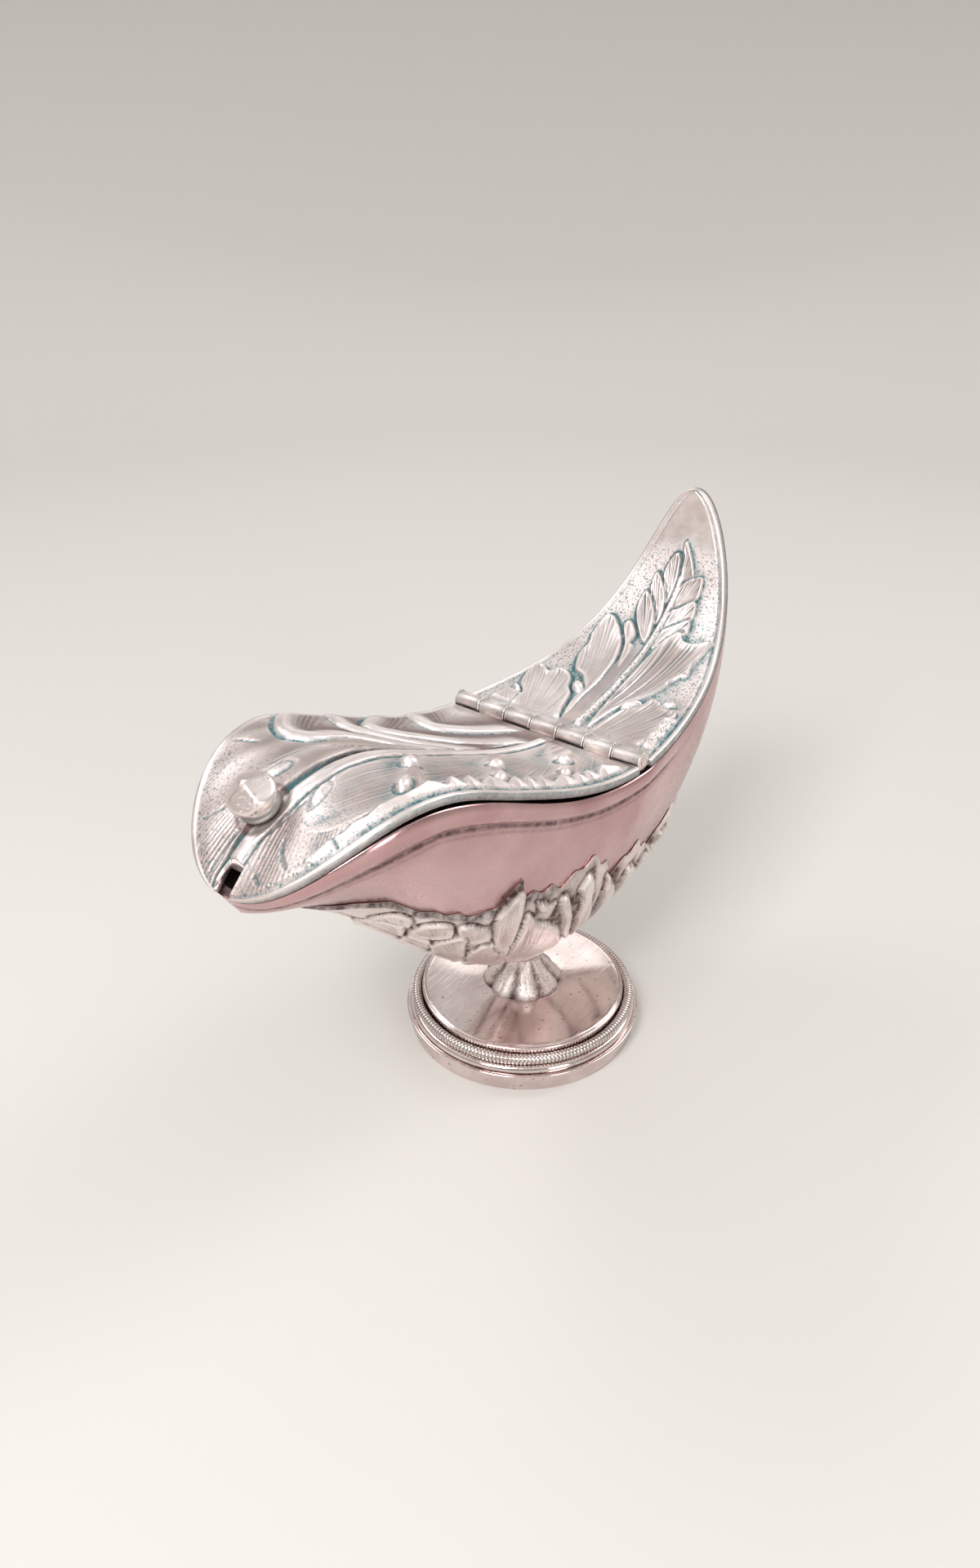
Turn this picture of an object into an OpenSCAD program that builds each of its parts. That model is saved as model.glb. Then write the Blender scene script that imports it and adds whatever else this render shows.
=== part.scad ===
// Incense boat: a cast and silvered vessel on a round foot, with a leaf-carved stern deck,
// a leaf-carved lid on a seven-knuckle hinge, and a notch at the bow for a spoon.
// Millimetres. +Z is up, +X points to the raised stern, and the origin is under the foot's centre.

/* [Boat] */
// From the foot's axis to the tip of the bow
bow_reach = 95.8; // [84:0.1:112]
// From the foot's axis to the tip of the stern
stern_reach = 77.4; // [68:0.1:88]
// Greatest breadth over the rim
beam = 59; // [58.6:0.1:72]
// Height of the rim at the hinge, its lowest place
rim_low = 84.4; // [76:0.1:96]
// Height of the rim at the bow tip
bow_height = 92; // [86:0.1:104]
// Height of the stern tip
stern_height = 133.4; // [120:0.1:150]
// How far the guide point of the bow's hump stands over the hinge line
hump_guide = 45; // [30:0.1:55]
// From the foot's axis to the lowest point of the rim
rim_low_x = 11; // [4:0.5:18]
// Height of the bowl's underside over the foot's axis
bowl_bottom = 25; // [21:0.1:29]
// Thickness of the bowl's wall
wall = 1.8; // [1.2:0.1:2.6]
// How far the bow's underside lies below its rim
lip_depth = 5; // [4:0.1:8]
// How far the stern's back lies behind its tip
stern_back = 3; // [2.5:0.1:6]
// How far the rolled moulding under the rim stands out
roll_out = 1; // [0.3:0.1:1.6]

/* [Lid and deck] */
// Thickness of the two leaf plates at their border
plate_t = 1.4; // [1:0.1:2]
// Gap between the closed lid and the rim at its seats
lid_gap = 0.3; // [0.25:0.05:0.6]
// How far the lid springs off the rim between its seats
lid_spring = 0.7; // [0:0.1:1.2]
// Solder film under the deck
deck_film = 0.3; // [0.25:0.05:0.5]
// Height of the leaf's middle rib
rib_h = 1.5; // [0.8:0.1:2.4]
// Height of the crinkled margin of the lid's leaf
margin_h = 1.5; // [0.6:0.1:2.4]
// Height of the deck's leaf lobes
lobe_h = 1.5; // [0.8:0.1:2.4]
// Width of the spoon notch
notch_w = 5; // [4.6:0.1:8]
// Depth of the spoon notch from the bow tip
notch_d = 5; // [4.6:0.1:8]

/* [Hinge] */
// Outer diameter of the hinge barrel
barrel_d = 4.2; // [3.6:0.1:5]
// Length of the hinge barrel
barrel_len = 57.8; // [44:0.1:58]
// Diameter of the hinge pin
pin_d = 2.2; // [1.8:0.1:2.6]
// Running clearance of the pin, on the radius
pin_clear = 0.05; // [0.02:0.01:0.1]
// Gap between neighbouring knuckles
knuckle_gap = 0.25; // [0.2:0.05:0.5]
// Height of the hinge axis over the rim
axis_over_rim = 2.6; // [2.5:0.1:3.4]
// How far the hinge axis lies before the rim's lowest point
axis_before_rim = 2.3; // [1:0.1:4]
// Free space between the barrel and the edges of lid and deck
plate_clear = 0.65; // [0.5:0.05:1]

/* [Foot] */
// Diameter over the foot's sharp edge
foot_d = 65; // [56:0.5:76]
// Height of the foot's top plate at its centre
foot_h = 12.6; // [11.6:0.1:14]
// Thickness of the foot's casting
foot_t = 1.9; // [1.4:0.1:2.4]
// Diameter of the milled wire round the foot
milled_d = 3; // [2.4:0.1:3.4]
// Diameter of the neck at its top
neck_top_d = 11.6; // [10:0.1:13]
// Diameter of the neck's petalled skirt
neck_base_d = 22; // [18:0.5:26]

/* [Knob and fixings] */
// Diameter of the lid's bud knob
knob_d = 11.6; // [9:0.1:14]
// Height of the bud knob
knob_h = 8.4; // [7:0.1:11]
// From the bow tip back to the knob, along the lid
knob_back = 17.7; // [16:0.1:26]
// How far the knob stands off the rib, to the left of the boat
knob_side = 2.5; // [-4:0.5:4]
// Diameter of the knob's screw
screw_d = 2.8; // [2:0.1:3.4]
// Diameter of the tie rod that holds bowl, neck and foot together
rod_d = 4; // [3:0.1:5]
// Clearance of the rods in their holes, on the radius
rod_clear = 0.1; // [0.05:0.01:0.2]

/* [Hidden] */
$fn = 64;
silver = "#c9c2bd";
bright = "#dcd6d1";
brass = "#b39b62";

// Seats between pieces that are screwed or soldered together
seat_gap = 0.05;
half_beam = beam / 2;
bow_run = rim_low_x + bow_reach;
stern_run = stern_reach - rim_low_x;

// Sheer: the rim seen from the side, one Bezier from the hinge to the bow, one to the stern.
// The guides are shares of each run: where the rim leaves the level, and where it swells or rises
bow_guides = [0.508, 0.6545];
bow_sheer = [[rim_low_x, rim_low], [rim_low_x - bow_guides[0] * bow_run, rim_low],
             [rim_low_x - bow_guides[1] * bow_run, rim_low + hump_guide], [-bow_reach, bow_height]];
stern_guides = [0.467, 0.962];
stern_swell = 0.071;
stern_sheer = [[rim_low_x, rim_low], [rim_low_x + stern_guides[0] * stern_run, rim_low],
               [rim_low_x + stern_guides[1] * stern_run, mix(rim_low, stern_height, stern_swell)],
               [stern_reach, stern_height]];

// Keel: the underside seen from the side
keel_guides = [0.325, 0.63];
lip_rake = 3;
lip_rise = 3.5;
bow_keel = [[0, bowl_bottom], [-keel_guides[0] * bow_reach, bowl_bottom],
            [-keel_guides[1] * bow_reach, bow_height - lip_depth - lip_rise],
            [lip_rake - bow_reach, bow_height - lip_depth]];
back_guides = [0.775, 0.36];
back_bulge = 1.6;
back_drop = 6.5;
stern_keel = [[0, bowl_bottom], [back_guides[0] * stern_reach, bowl_bottom],
              [stern_reach + back_bulge, mix(bowl_bottom, stern_height, back_guides[1])],
              [stern_reach + stern_back, stern_height - back_drop]];

// Stations run from -1 at the bow over 0 at the hinge to 1 at the stern, and stop short of
// the tips so that both ends stay blunt
bow_end = -0.9965;
stern_end = 0.993;
// Powers of the breadth's curve at both ends, and of the sections
bow_round = 5.26;
stern_taper = [1.11, 0.49];
section_power = 1.7;
stern_power = 2.3;

function bez(p, t) = let (q = 1 - t)
    q*q*q*p[0] + 3*q*q*t*p[1] + 3*q*t*t*p[2] + t*t*t*p[3];
function bez_slope(p, t) = let (q = 1 - t)
    3 * (q*q*(p[1] - p[0]) + 2*q*t*(p[2] - p[1]) + t*t*(p[3] - p[2]));
function unit(v) = v / norm(v);
function left_of(v) = unit([-v[1], v[0]]);
function mix(a, b, k) = a + (b - a) * k;
function clamp(x, lo, hi) = min(max(x, lo), hi);
// Smooth hill of height 1 at distance 0 that ends at distance r
function hill(d, r) = abs(d) < r ? pow(1 - pow(d / r, 2), 2) : 0;
// Smooth step from 0 at a to 1 at b
function ease(x, a, b) = let (k = clamp((x - a) / (b - a), 0, 1)) k * k * (3 - 2 * k);
// Distance from point p to the line piece from a to b
function to_line(p, a, b) = let (k = clamp((p - a) * (b - a) / ((b - a) * (b - a)), 0, 1))
    norm(p - a - k * (b - a));

function sheer(t) = t < 0 ? bez(bow_sheer, -t) : bez(stern_sheer, t);
function sheer_slope(t) = t < 0 ? -bez_slope(bow_sheer, -t) : bez_slope(stern_sheer, t);
function keel(t) = t < 0 ? bez(bow_keel, -t) : bez(stern_keel, t);
function keel_slope(t) = t < 0 ? -bez_slope(bow_keel, -t) : bez_slope(stern_keel, t);
function breadth(t) = half_beam * (t < 0
    ? sqrt(max(0, 1 - pow((rim_low_x - sheer(t)[0]) / bow_run, bow_round)))
    : pow(1 - pow(t, stern_taper[0]), stern_taper[1]));
function power(t) = mix(section_power, t < 0 ? section_power : stern_power, pow(abs(t), 1.5));

// One point of a section: s runs from -1 at the right rim over 0 at the keel to 1 at the left rim
function section(low, high, half, n, s) = let (a = 90 * abs(s), e = 2 / n,
    rise = 1 - pow(cos(a), e), p = mix(low, high, rise))
    [p[0], sign(s) * half * pow(sin(a), e), p[1]];
function outer(t, s) = section(keel(t), sheer(t), breadth(t), power(t), s);
function outer_normal(t, s) = let (e = 0.01, t1 = max(t - e, -1), t2 = min(t + e, 1),
    s1 = max(s - e, -1), s2 = min(s + e, 1))
    unit(cross(outer(t, s2) - outer(t, s1), outer(t2, s) - outer(t1, s)));

// The roll under the rim grows from the bow tip and fades out behind the hinge
roll_band = 0.13;
function roll(t, s) = abs(s) > 1 - roll_band
    ? roll_out * sin(180 * (1 - abs(s)) / roll_band) * ease(t, -1, -0.8) * (1 - ease(t, -0.1, 0.25))
    : 0;
function hull_outside(t, s) = outer(t, s) + roll(t, s) * outer_normal(t, s);

// The bowl's hollow keeps its own stations, drawn in from both tips
hollow_bow = 0.975;
hollow_stern = 0.86;
// The rim's land falls inwards, so that lid and deck bear on its outer edge
rim_fall = 1.2;
function hull_inside(t, s) = let (k = t * (t < 0 ? hollow_bow : hollow_stern))
    section(keel(k) + wall * left_of(keel_slope(k)), sheer(k) - rim_fall * left_of(sheer_slope(k)),
            breadth(t) * (1 - wall / half_beam), power(k), s);

// Triangles of a grid of n rows and m columns whose first point has number o
function grid_faces(n, m, o, turn) = [for (i = [0:n-2], j = [0:m-2])
    let (a = o + i*m + j, b = a + 1, c = a + m, d = c + 1)
    each turn ? [[a, b, d], [a, d, c]] : [[a, d, b], [a, c, d]]];
function fan_faces(ids, turn) = [for (i = [1:len(ids)-2])
    turn ? [ids[0], ids[i], ids[i+1]] : [ids[0], ids[i+1], ids[i]]];
function strip_faces(p, q, turn) = [for (i = [0:len(p)-2])
    each turn ? [[p[i], p[i+1], q[i+1]], [p[i], q[i+1], q[i]]]
              : [[p[i], q[i+1], p[i+1]], [p[i], q[i], q[i+1]]]];
function flat_list(rows) = [for (r = rows) each r];

// Hull

hull_rows = 32;
hull_stations = [for (i = [0:hull_rows]) let (k = sin(180 * i / hull_rows - 90))
    k < 0 ? -k * bow_end : k * stern_end];
rim_side = [1, 0.974, 0.948, 0.921, 0.895, 0.868, 0.78, 0.67, 0.55, 0.42, 0.28, 0.14];
hull_columns = concat([for (s = rim_side) -s], [0],
                      [for (i = [len(rim_side)-1:-1:0]) rim_side[i]]);
// Pad in the bowl's bottom that the neck and the rod's head bear on
pad_d = neck_top_d + 0.8;
pad_low = bowl_bottom - 2.2;
pad_top = bowl_bottom + wall + 1.4;

module hull_shell() {
    n = len(hull_stations);
    m = len(hull_columns);
    o = n * m;
    skin = flat_list([for (t = hull_stations) [for (s = hull_columns) hull_outside(t, s)]]);
    lining = flat_list([for (t = hull_stations) [for (s = hull_columns) hull_inside(t, s)]]);
    bow_cap = [for (j = [0:m-1]) j];
    stern_cap = [for (j = [0:m-1]) (n-1)*m + j];
    right_rim = [for (i = [0:n-1]) i*m];
    left_rim = [for (i = [0:n-1]) i*m + m - 1];
    rim_loop = concat(right_rim, [for (i = [n-1:-1:0]) left_rim[i]], [0]);
    polyhedron(concat(skin, lining), concat(
        grid_faces(n, m, 0, false), fan_faces(bow_cap, true), fan_faces(stern_cap, false),
        grid_faces(n, m, o, true),
        fan_faces([for (i = bow_cap) i + o], false), fan_faces([for (i = stern_cap) i + o], true),
        strip_faces(rim_loop, [for (i = rim_loop) i + o], false)), convexity = 8);
}

module hull() {
    color(silver) difference() {
        union() {
            hull_shell();
            translate([0, 0, pad_low]) cylinder(d = pad_d, h = pad_top - pad_low);
        }
        translate([0, 0, pad_low - 1]) cylinder(r = rod_d / 2 + rod_clear, h = pad_top - pad_low + 2);
        translate([0, 0, pad_top]) cylinder(d = rod_washer_d + 1, h = rod_d);
    }
}

// Leaf plates: rows of stations, columns across, with the leaf's relief on the top face

plate_columns = 29;
// Station at which the rim reaches the place x, by halving
function station_at(x, lo, hi, n = 20) = n == 0 ? (lo + hi) / 2 :
    let (k = (lo + hi) / 2) sheer(k)[0] < x ? station_at(x, k, hi, n - 1) : station_at(x, lo, k, n - 1);
function on_sheer(t, h) = sheer(t) + h * left_of(sheer_slope(t));
// Running length of the rim from the hinge to each station of a list
function lengths(ts) = let (fine = 4) [for (t = ts)
    let (n = ceil(abs(t) * 100 / fine) + 1, p = [for (i = [0:n]) sheer(t * i / n)])
    [for (i = 0, a = 0; i <= n; a = a + (i < n ? norm(p[i+1] - p[i]) : 0), i = i + 1) a][n]];

module plate(stations, under, relief) {
    n = len(stations);
    m = plate_columns;
    run = lengths(stations);
    across = [for (j = [0:m-1]) 2 * j / (m - 1) - 1];
    top = flat_list([for (i = [0:n-1]) let (t = stations[i], w = breadth(t)) [for (s = across)
        let (p = on_sheer(t, under(t) + plate_t + relief(run[i], s * w, w))) [p[0], s * w, p[1]]]]);
    low_right = [for (t = stations) let (p = on_sheer(t, under(t))) [p[0], -breadth(t), p[1]]];
    low_left = [for (t = stations) let (p = on_sheer(t, under(t))) [p[0], breadth(t), p[1]]];
    a = n * m;
    b = a + n;
    right_low = [for (i = [0:n-1]) a + i];
    left_low = [for (i = [0:n-1]) b + i];
    polyhedron(concat(top, low_right, low_left), concat(
        grid_faces(n, m, 0, true), strip_faces(right_low, left_low, true),
        strip_faces([for (i = [0:n-1]) i*m], right_low, true),
        strip_faces([for (i = [0:n-1]) i*m + m - 1], left_low, false),
        fan_faces(concat([a], [for (j = [0:m-1]) j], [b]), false),
        fan_faces(concat([a + n - 1], [for (j = [0:m-1]) (n-1)*m + j], [b + n - 1]), true)),
        convexity = 6);
}

// Hinge

barrel_r = barrel_d / 2;
ring_out = 0.3;
ring_w = 0.8;
axis_x = rim_low_x - axis_before_rim;
axis_z = rim_low + axis_over_rim;
lid_edge_x = axis_x - barrel_r - plate_clear;
deck_edge_x = axis_x + barrel_r + plate_clear;
// An odd number, so that both end knuckles belong to the deck
knuckles = 7;
knuckle_pitch = barrel_len / knuckles;
// The straps stop short of the plates' edges, stand above their undersides and end flush on top
strap_gap = 0.15;
strap_lift = 0.4;
strap_in = 0.5;
bore_r = pin_d / 2 + pin_clear;

module at_axis() {
    translate([axis_x, 0, axis_z]) children();
}

// Knuckle number k counts from the left end; side is 1 for a strap to the deck, -1 to the lid
module knuckle(k, side) {
    len_y = knuckle_pitch - knuckle_gap;
    strap_w = len_y - 2 * strap_gap;
    mid_y = barrel_len / 2 - (k - 0.5) * knuckle_pitch;
    edge = side > 0 ? deck_edge_x : lid_edge_x;
    film = side > 0 ? deck_film : lid_gap;
    strap_low = -axis_over_rim + film + strap_lift;
    at_axis() difference() {
        union() {
            translate([0, mid_y + len_y / 2, 0]) rotate([90, 0, 0]) rotate_extrude()
                polygon([[0, 0], [barrel_r + ring_out, 0], [barrel_r + ring_out, ring_w / 2],
                         [barrel_r, ring_w], [barrel_r, len_y - ring_w],
                         [barrel_r + ring_out, len_y - ring_w / 2], [barrel_r + ring_out, len_y],
                         [0, len_y]]);
            translate([side > 0 ? strap_in : edge - axis_x + strap_gap, mid_y - strap_w / 2, strap_low])
                cube([abs(edge - axis_x) - strap_gap - strap_in, strap_w, plate_t - strap_lift]);
        }
        translate([0, mid_y + len_y, 0]) rotate([90, 0, 0]) cylinder(r = bore_r, h = 2 * len_y);
    }
}

module deck_knuckle(i) {
    color(bright) knuckle(2 * i - 1, 1);
}

module lid_knuckle(i) {
    color(bright) knuckle(2 * i, -1);
}

module hinge_pin() {
    color(bright) at_axis() translate([0, barrel_len / 2, 0]) rotate([90, 0, 0])
        cylinder(d = pin_d, h = barrel_len);
}

// Leaf relief

// A lobe starts at this share of its breadth, climbs by this share of its height to its tip,
// and its sides are this wide
lobe_root = 0.33;
lobe_climb = 0.5;
lobe_side = 1.2;

// Share of the way from a to b that lies nearest to p
function along_line(p, a, b) = clamp((p - a) * (b - a) / ((b - a) * (b - a)), 0, 1);

// Lobe [base, bend, tip, half width, share of lobe_h, scoop] at p, as [height, cover]
function lobe_at(p, b) = let (
    end = b[2] - (b[2] - b[1]) * min(0.9, 0.8 * b[3] / norm(b[2] - b[1])),
    low = to_line(p, b[0], b[1]), high = to_line(p, b[1], end), d = min(low, high),
    share = low < high ? along_line(p, b[0], b[1]) / 2 : (1 + along_line(p, b[1], end)) / 2,
    half = b[3] * mix(lobe_root, 1, ease(share, 0, 0.6)), q = min(d / half, 1),
    scoop = b[5] * (1 - q * q) * ease(share, 0.1, 0.7))
    [lobe_h * b[4] * (mix(1 - lobe_climb, 1, share) - scoop), ease(half - d, -0.2, lobe_side)];

// Lobes 0 to i of a list, each laid over the ones before
function painted(p, list, i) = i < 0 ? 0 : let (l = lobe_at(p, list[i]))
    l[1] >= 1 ? l[0] : mix(painted(p, list, i - 1), l[0], l[1]);

// Distance of p from a bent line, positive on its left
function beside(p, line) = let (
    gaps = [for (i = [0:len(line) - 2]) to_line(p, line[i], line[i + 1])],
    i = search(min(gaps), gaps)[0], d = line[i + 1] - line[i], e = p - line[i])
    (d[0] * e[1] < d[1] * e[0] ? -1 : 1) * gaps[i];

// Folds 0 to i over the bow lobes, each laid over the ones before
function folded(p, i) = i < 0 ? painted(p, bow_lobes, len(bow_lobes) - 1)
    : let (d = beside(p, folds[i])) d <= 0 ? folded(p, i - 1) : let (
    k = 1 - min(d / fold_roll, 1), grow = min(norm(p - folds[i][0]) / fold_start, 1),
    sink = fold_dip[0] * ease(d, 0.7 * fold_roll, fold_dip[1]))
    lobe_h * mix(0.45, 1, grow) * sqrt(1 - k * k) * (1 - sink);

// Lid

lid_rows = 46;
lid_from = station_at(lid_edge_x, -1, 0);
lid_stations = [for (i = [lid_rows:-1:0]) let (k = i / lid_rows)
    mix(lid_from, bow_end, mix(k, sin(90 * k), 0.5))];
lid_run = lengths([bow_end])[0];
knob_along = lid_run - knob_back;
// The relief ends between these distances from the bow tip
tip_plain = [8, 5];
rib_r = 2.4;
// Middle of the rib, as [distance from the hinge, distance to the left]
rib_line = [[6, -3.3], [28, -2.9], [41, -2.5], [55, -2.7], [70, -3.4], [79, -3.4], [87, -2.7], [95, -1.4],
            [103, 0.2], [112, 0.8]];
// A flat channel lies left of the rib, first near the hinge, then near the bow
channel_w = [3.2, 1.4];
// Leaf folds left of the rib, each the line of its rolled edge, from the bow to the hinge
folds = [[[55, 3.5], [66.8, 8.3], [76.5, 8.9], [80.2, 13.5], [79.5, 18.5], [76, 23], [69, 30]],
         [[45, 4.5], [55, 9.5], [60, 14.5], [60.5, 19.5], [57.5, 25], [54, 31]],
         [[29, 5], [39.5, 9.2], [46, 10.8], [51.6, 13.4], [52.8, 17.2], [51, 20.8], [45, 25], [37, 31]],
         [[6, 4.6], [15, 8.6], [23.6, 12.6], [28, 16.4], [28.8, 20], [27, 25], [23.5, 31]]];
fold_roll = 2.4;
// Behind its roll a fold sinks by this share, up to this distance from its edge
fold_dip = [0.45, 9];
// A fold reaches its full height at this distance from its start
fold_start = 14;
// Furrowed lobes of the bow, left of the rib
bow_lobes = [[[70.7, 2.6], [91.3, 13.5], [102, 22.8], 9, 0.6, 0],
             [[72.9, 2.3], [93.2, 9.2], [111, 13.2], 6.4, 0.6, 0]];
// Scooped lobes right of the rib
lid_lobes = [[[88, -5], [98, -8.5], [105, -12.5], 4.4, 0.5, 0],
             [[60, -6], [77, -9.6], [94, -15.5], 6.4, 0.7, 0.8],
             [[34, -5], [55, -12.4], [75, -21.5], 7.2, 0.75, 0.8],
             [[8, -5.4], [26, -11.6], [46, -20.5], 6.8, 0.75, 0.8],
             [[2, -8], [8, -15], [19, -22], 5.4, 0.75, 0.8]];
// Berries and leaf tips, as [distance from the hinge, distance to the left]
lid_eyes = [[70.2, -11.3], [41.4, -12.5], [17.5, -15.5], [79.5, -18.3], [51, -20.6], [24.5, -20.5]];
eye_r = 2.6;
eye_h = 1.2 * lobe_h;
// The margin's crest lies this far in from the right edge, first at the hinge, then past the middle
margin_in = [4.6, 3.8];
margin_r = 2.8;
// The margin fades between these distances from the bow tip
margin_fade = [33, 17];
crinkle_pitch = 6;
// Over these distances from the left and the right edge the relief sinks to the plate
edge_fade = [5.5, 2.4];
// Stations at which the lid springs up, and how far each spring reaches
spring_at = [-0.27, -0.68];
spring_r = 0.26;
lid_under = function (t) lid_gap
    + lid_spring * (hill(t - spring_at[0], spring_r) + hill(t - spring_at[1], spring_r));
lid_relief = function (u, y, w) let (
    p = [u, y], edge = w - abs(y), x = y - lookup(u, rib_line),
    wide = mix(channel_w[0], channel_w[1], ease(u, 60, 85)),
    leaf = x > 0 ? folded(p, len(folds) - 1) : painted(p, lid_lobes, len(lid_lobes) - 1),
    cover = leaf * ease(abs(x > 0 ? x - wide : x) - rib_r / 2, -0.4, 0.8) * (x > 0 && x < wide ? 0 : 1),
    band = w - mix(margin_in[0], margin_in[1], ease(u, 45, 75)),
    margin = margin_h * hill(y + band, margin_r) * (0.75 + 0.25 * cos(360 * u / crinkle_pitch))
        * (1 - ease(u, lid_run - margin_fade[0], lid_run - margin_fade[1])),
    eyes = max([for (e = lid_eyes) eye_h * hill(norm(p - e), eye_r)]),
    tip = 1 - ease(u, lid_run - tip_plain[0], lid_run - tip_plain[1]),
    pad = norm([u - knob_along, y - knob_side]) - knob_d / 2)
    max(cover, rib_h * hill(x, rib_r), margin, eyes) * ease(u, 6, 10) * tip * ease(pad, -0.5, 2)
    * ease(edge, 0.4, y > 0 ? edge_fade[0] : edge_fade[1]);

// Station at the running length a from the hinge, by halving
function station_along(a, lo, hi, n = 18) = n == 0 ? (lo + hi) / 2 : let (k = (lo + hi) / 2)
    lengths([k])[0] < a ? station_along(a, k, hi, n - 1) : station_along(a, lo, k, n - 1);
knob_t = station_along(knob_along, 0, -1);
// Boss on both sides of the lid that knob and washer bear on
boss_d = knob_d - 1.6;
boss_h = 1.3;
boss_low = -0.4;

// Stands things on the lid's top face at the knob, with +Z along the lid's own normal
module at_knob() {
    p = sheer(knob_t);
    d = sheer_slope(knob_t);
    translate([p[0], knob_side, p[1]]) rotate([0, -atan2(d[1], d[0]), 0]) children();
}

knob_seat = lid_gap + plate_t + boss_h;
washer_t = 0.6;
screw_head_d = 1.8 * screw_d;
screw_head_h = 0.6 * screw_d;

module lid() {
    color(silver) difference() {
        union() {
            plate(lid_stations, lid_under, lid_relief);
            at_knob() translate([0, 0, boss_low]) cylinder(d = boss_d, h = knob_seat - boss_low);
        }
        at_knob() translate([0, 0, boss_low - 1])
            cylinder(r = screw_bore, h = knob_seat - boss_low + 2);
        translate([-bow_reach - notch_d, -notch_w / 2, rim_low])
            cube([2 * notch_d, notch_w, hump_guide]);
    }
}

// Bud knob: a collar, a waist and a bud parted by four clefts
cleft_d = 1.2;
cleft_lean = 24;
collar_r = 0.43 * knob_d;
collar_h = 0.8;
waist_r = 0.33 * knob_d;
bud_mid = 0.52 * knob_h;
bud_r = 0.46 * knob_h;
screw_bore = screw_d / 2 + rod_clear;
// The screw reaches half way up the bud, and its hole a little further
screw_reach = 0.5 * knob_h;
hole_over = 0.1 * knob_h;

module knob() {
    color(bright) at_knob() translate([0, 0, knob_seat + seat_gap]) difference() {
        rotate_extrude() polygon(concat(
            [[0, 0], [collar_r, 0], [collar_r, collar_h], [waist_r, 2 * collar_h]],
            [for (a = [-40:10:80]) let (taper = a < 0 ? 1 : cos(a / 5))
                [knob_d / 2 * cos(a) * taper, bud_mid + bud_r * sin(a)]],
            [[0, bud_mid + bud_r]]));
        translate([0, 0, -1]) cylinder(r = screw_bore, h = 1 + screw_reach + hole_over);
        for (a = [45:90:315]) rotate([0, 0, a]) translate([knob_d / 2, 0, bud_mid])
            rotate([0, -cleft_lean, 0]) cylinder(d = cleft_d, h = knob_h, center = true);
    }
}

module knob_washer() {
    color(brass) at_knob() translate([0, 0, boss_low - seat_gap - washer_t]) difference() {
        cylinder(d = boss_d - 2, h = washer_t);
        translate([0, 0, -1]) cylinder(r = screw_bore, h = washer_t + 2);
    }
}

module knob_screw() {
    low = boss_low - 2 * seat_gap - washer_t;
    color(brass) at_knob() {
        translate([0, 0, low - screw_head_h]) cylinder(d = screw_head_d, h = screw_head_h);
        translate([0, 0, low - screw_head_h / 2])
            cylinder(d = screw_d, h = knob_seat + screw_reach - low + screw_head_h / 2);
    }
}

// Stern deck

deck_rows = 38;
deck_from = station_at(deck_edge_x, 0, 0.6);
deck_stations = [for (i = [0:deck_rows]) let (k = i / deck_rows)
    mix(deck_from, stern_end, mix(k, sin(90 * k), 0.4))];
// Leaf lobes, painted from the stern to the hinge
deck_lobes = [[[64, 1.2], [69, 3.2], [75.5, 3], 1.9, 0.6, 0],
              [[64, -1.2], [69, -3.4], [76, -3.6], 2, 0.6, 0],
              [[57, 1.8], [62, 4.6], [69, 6.6], 2.4, 0.65, 0],
              [[57, -1.4], [62.5, -4.8], [70, -6.6], 2.6, 0.65, 0],
              [[50, 2.5], [55, 5.5], [62.5, 8], 2.8, 0.7, 0],
              [[50, -1.8], [55, -6], [62.5, -8.8], 3, 0.7, 0],
              [[28, 3.5], [42, 5.5], [53.5, 9.5], 2.8, 0.8, 0],
              [[14, 5], [27, 12], [40, 16.8], 4.2, 0.85, 0.3],
              [[8, 3], [28, 8.5], [53, 15], 6, 1, 0.3],
              [[26, -4], [40, -6], [53, -8.8], 3.2, 0.85, 0.3],
              [[10, -4.5], [30, -8.5], [53, -16], 6.2, 1, 0.3],
              [[-6, 12], [4, 18.5], [11, 23.8], 4.5, 0.85, 0.3],
              [[-6, 8], [9, 16], [26, 23.6], 5.8, 1, 0.3],
              [[-6, 4.5], [9, 9], [27.5, 15.8], 5.8, 1.05, 0.3],
              [[-6, -13], [8, -16.5], [25.5, -20.2], 5.2, 0.95, 0.3],
              [[-6, -7], [8, -9.5], [26, -15], 5.4, 1, 0.3]];
deck_eyes = [[20.8, 7.2], [21.2, -10.2]];
deck_line = [[2, -3.6], [17, -2.8], [31, -1.8], [47, -0.3], [61, 0.2], [79, 0]];
border_h = 0.5;
deck_run = lengths([stern_end])[0];
deck_rib_r = 2;
// The deck's rib fades between these distances from the stern tip
deck_fade = [20, 12];
deck_under = function (t) deck_film;
deck_relief = function (u, y, w) let (
    p = [u, y], edge = w - abs(y), x = y - lookup(u, deck_line),
    rib = rib_h * hill(x, deck_rib_r) * (1 - ease(u, deck_run - deck_fade[0], deck_run - deck_fade[1])),
    lobes = painted(p, deck_lobes, len(deck_lobes) - 1),
    eyes = max([for (e = deck_eyes) eye_h * hill(norm(p - e), eye_r)]),
    border = border_h * hill(edge, 1.6))
    max(rib, lobes * ease(edge, 1, 2.4), eyes, border) * ease(u, 5, 8);

module stern_deck() {
    color(silver) plate(deck_stations, deck_under, deck_relief);
}

// Calyx: lobed leaves that wrap the lower bowl from bow to stern, a thin skin over the hull

calyx_film = 0.35;
calyx_t = 0.7;
calyx_rows = 48;
calyx_half = 9;
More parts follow.
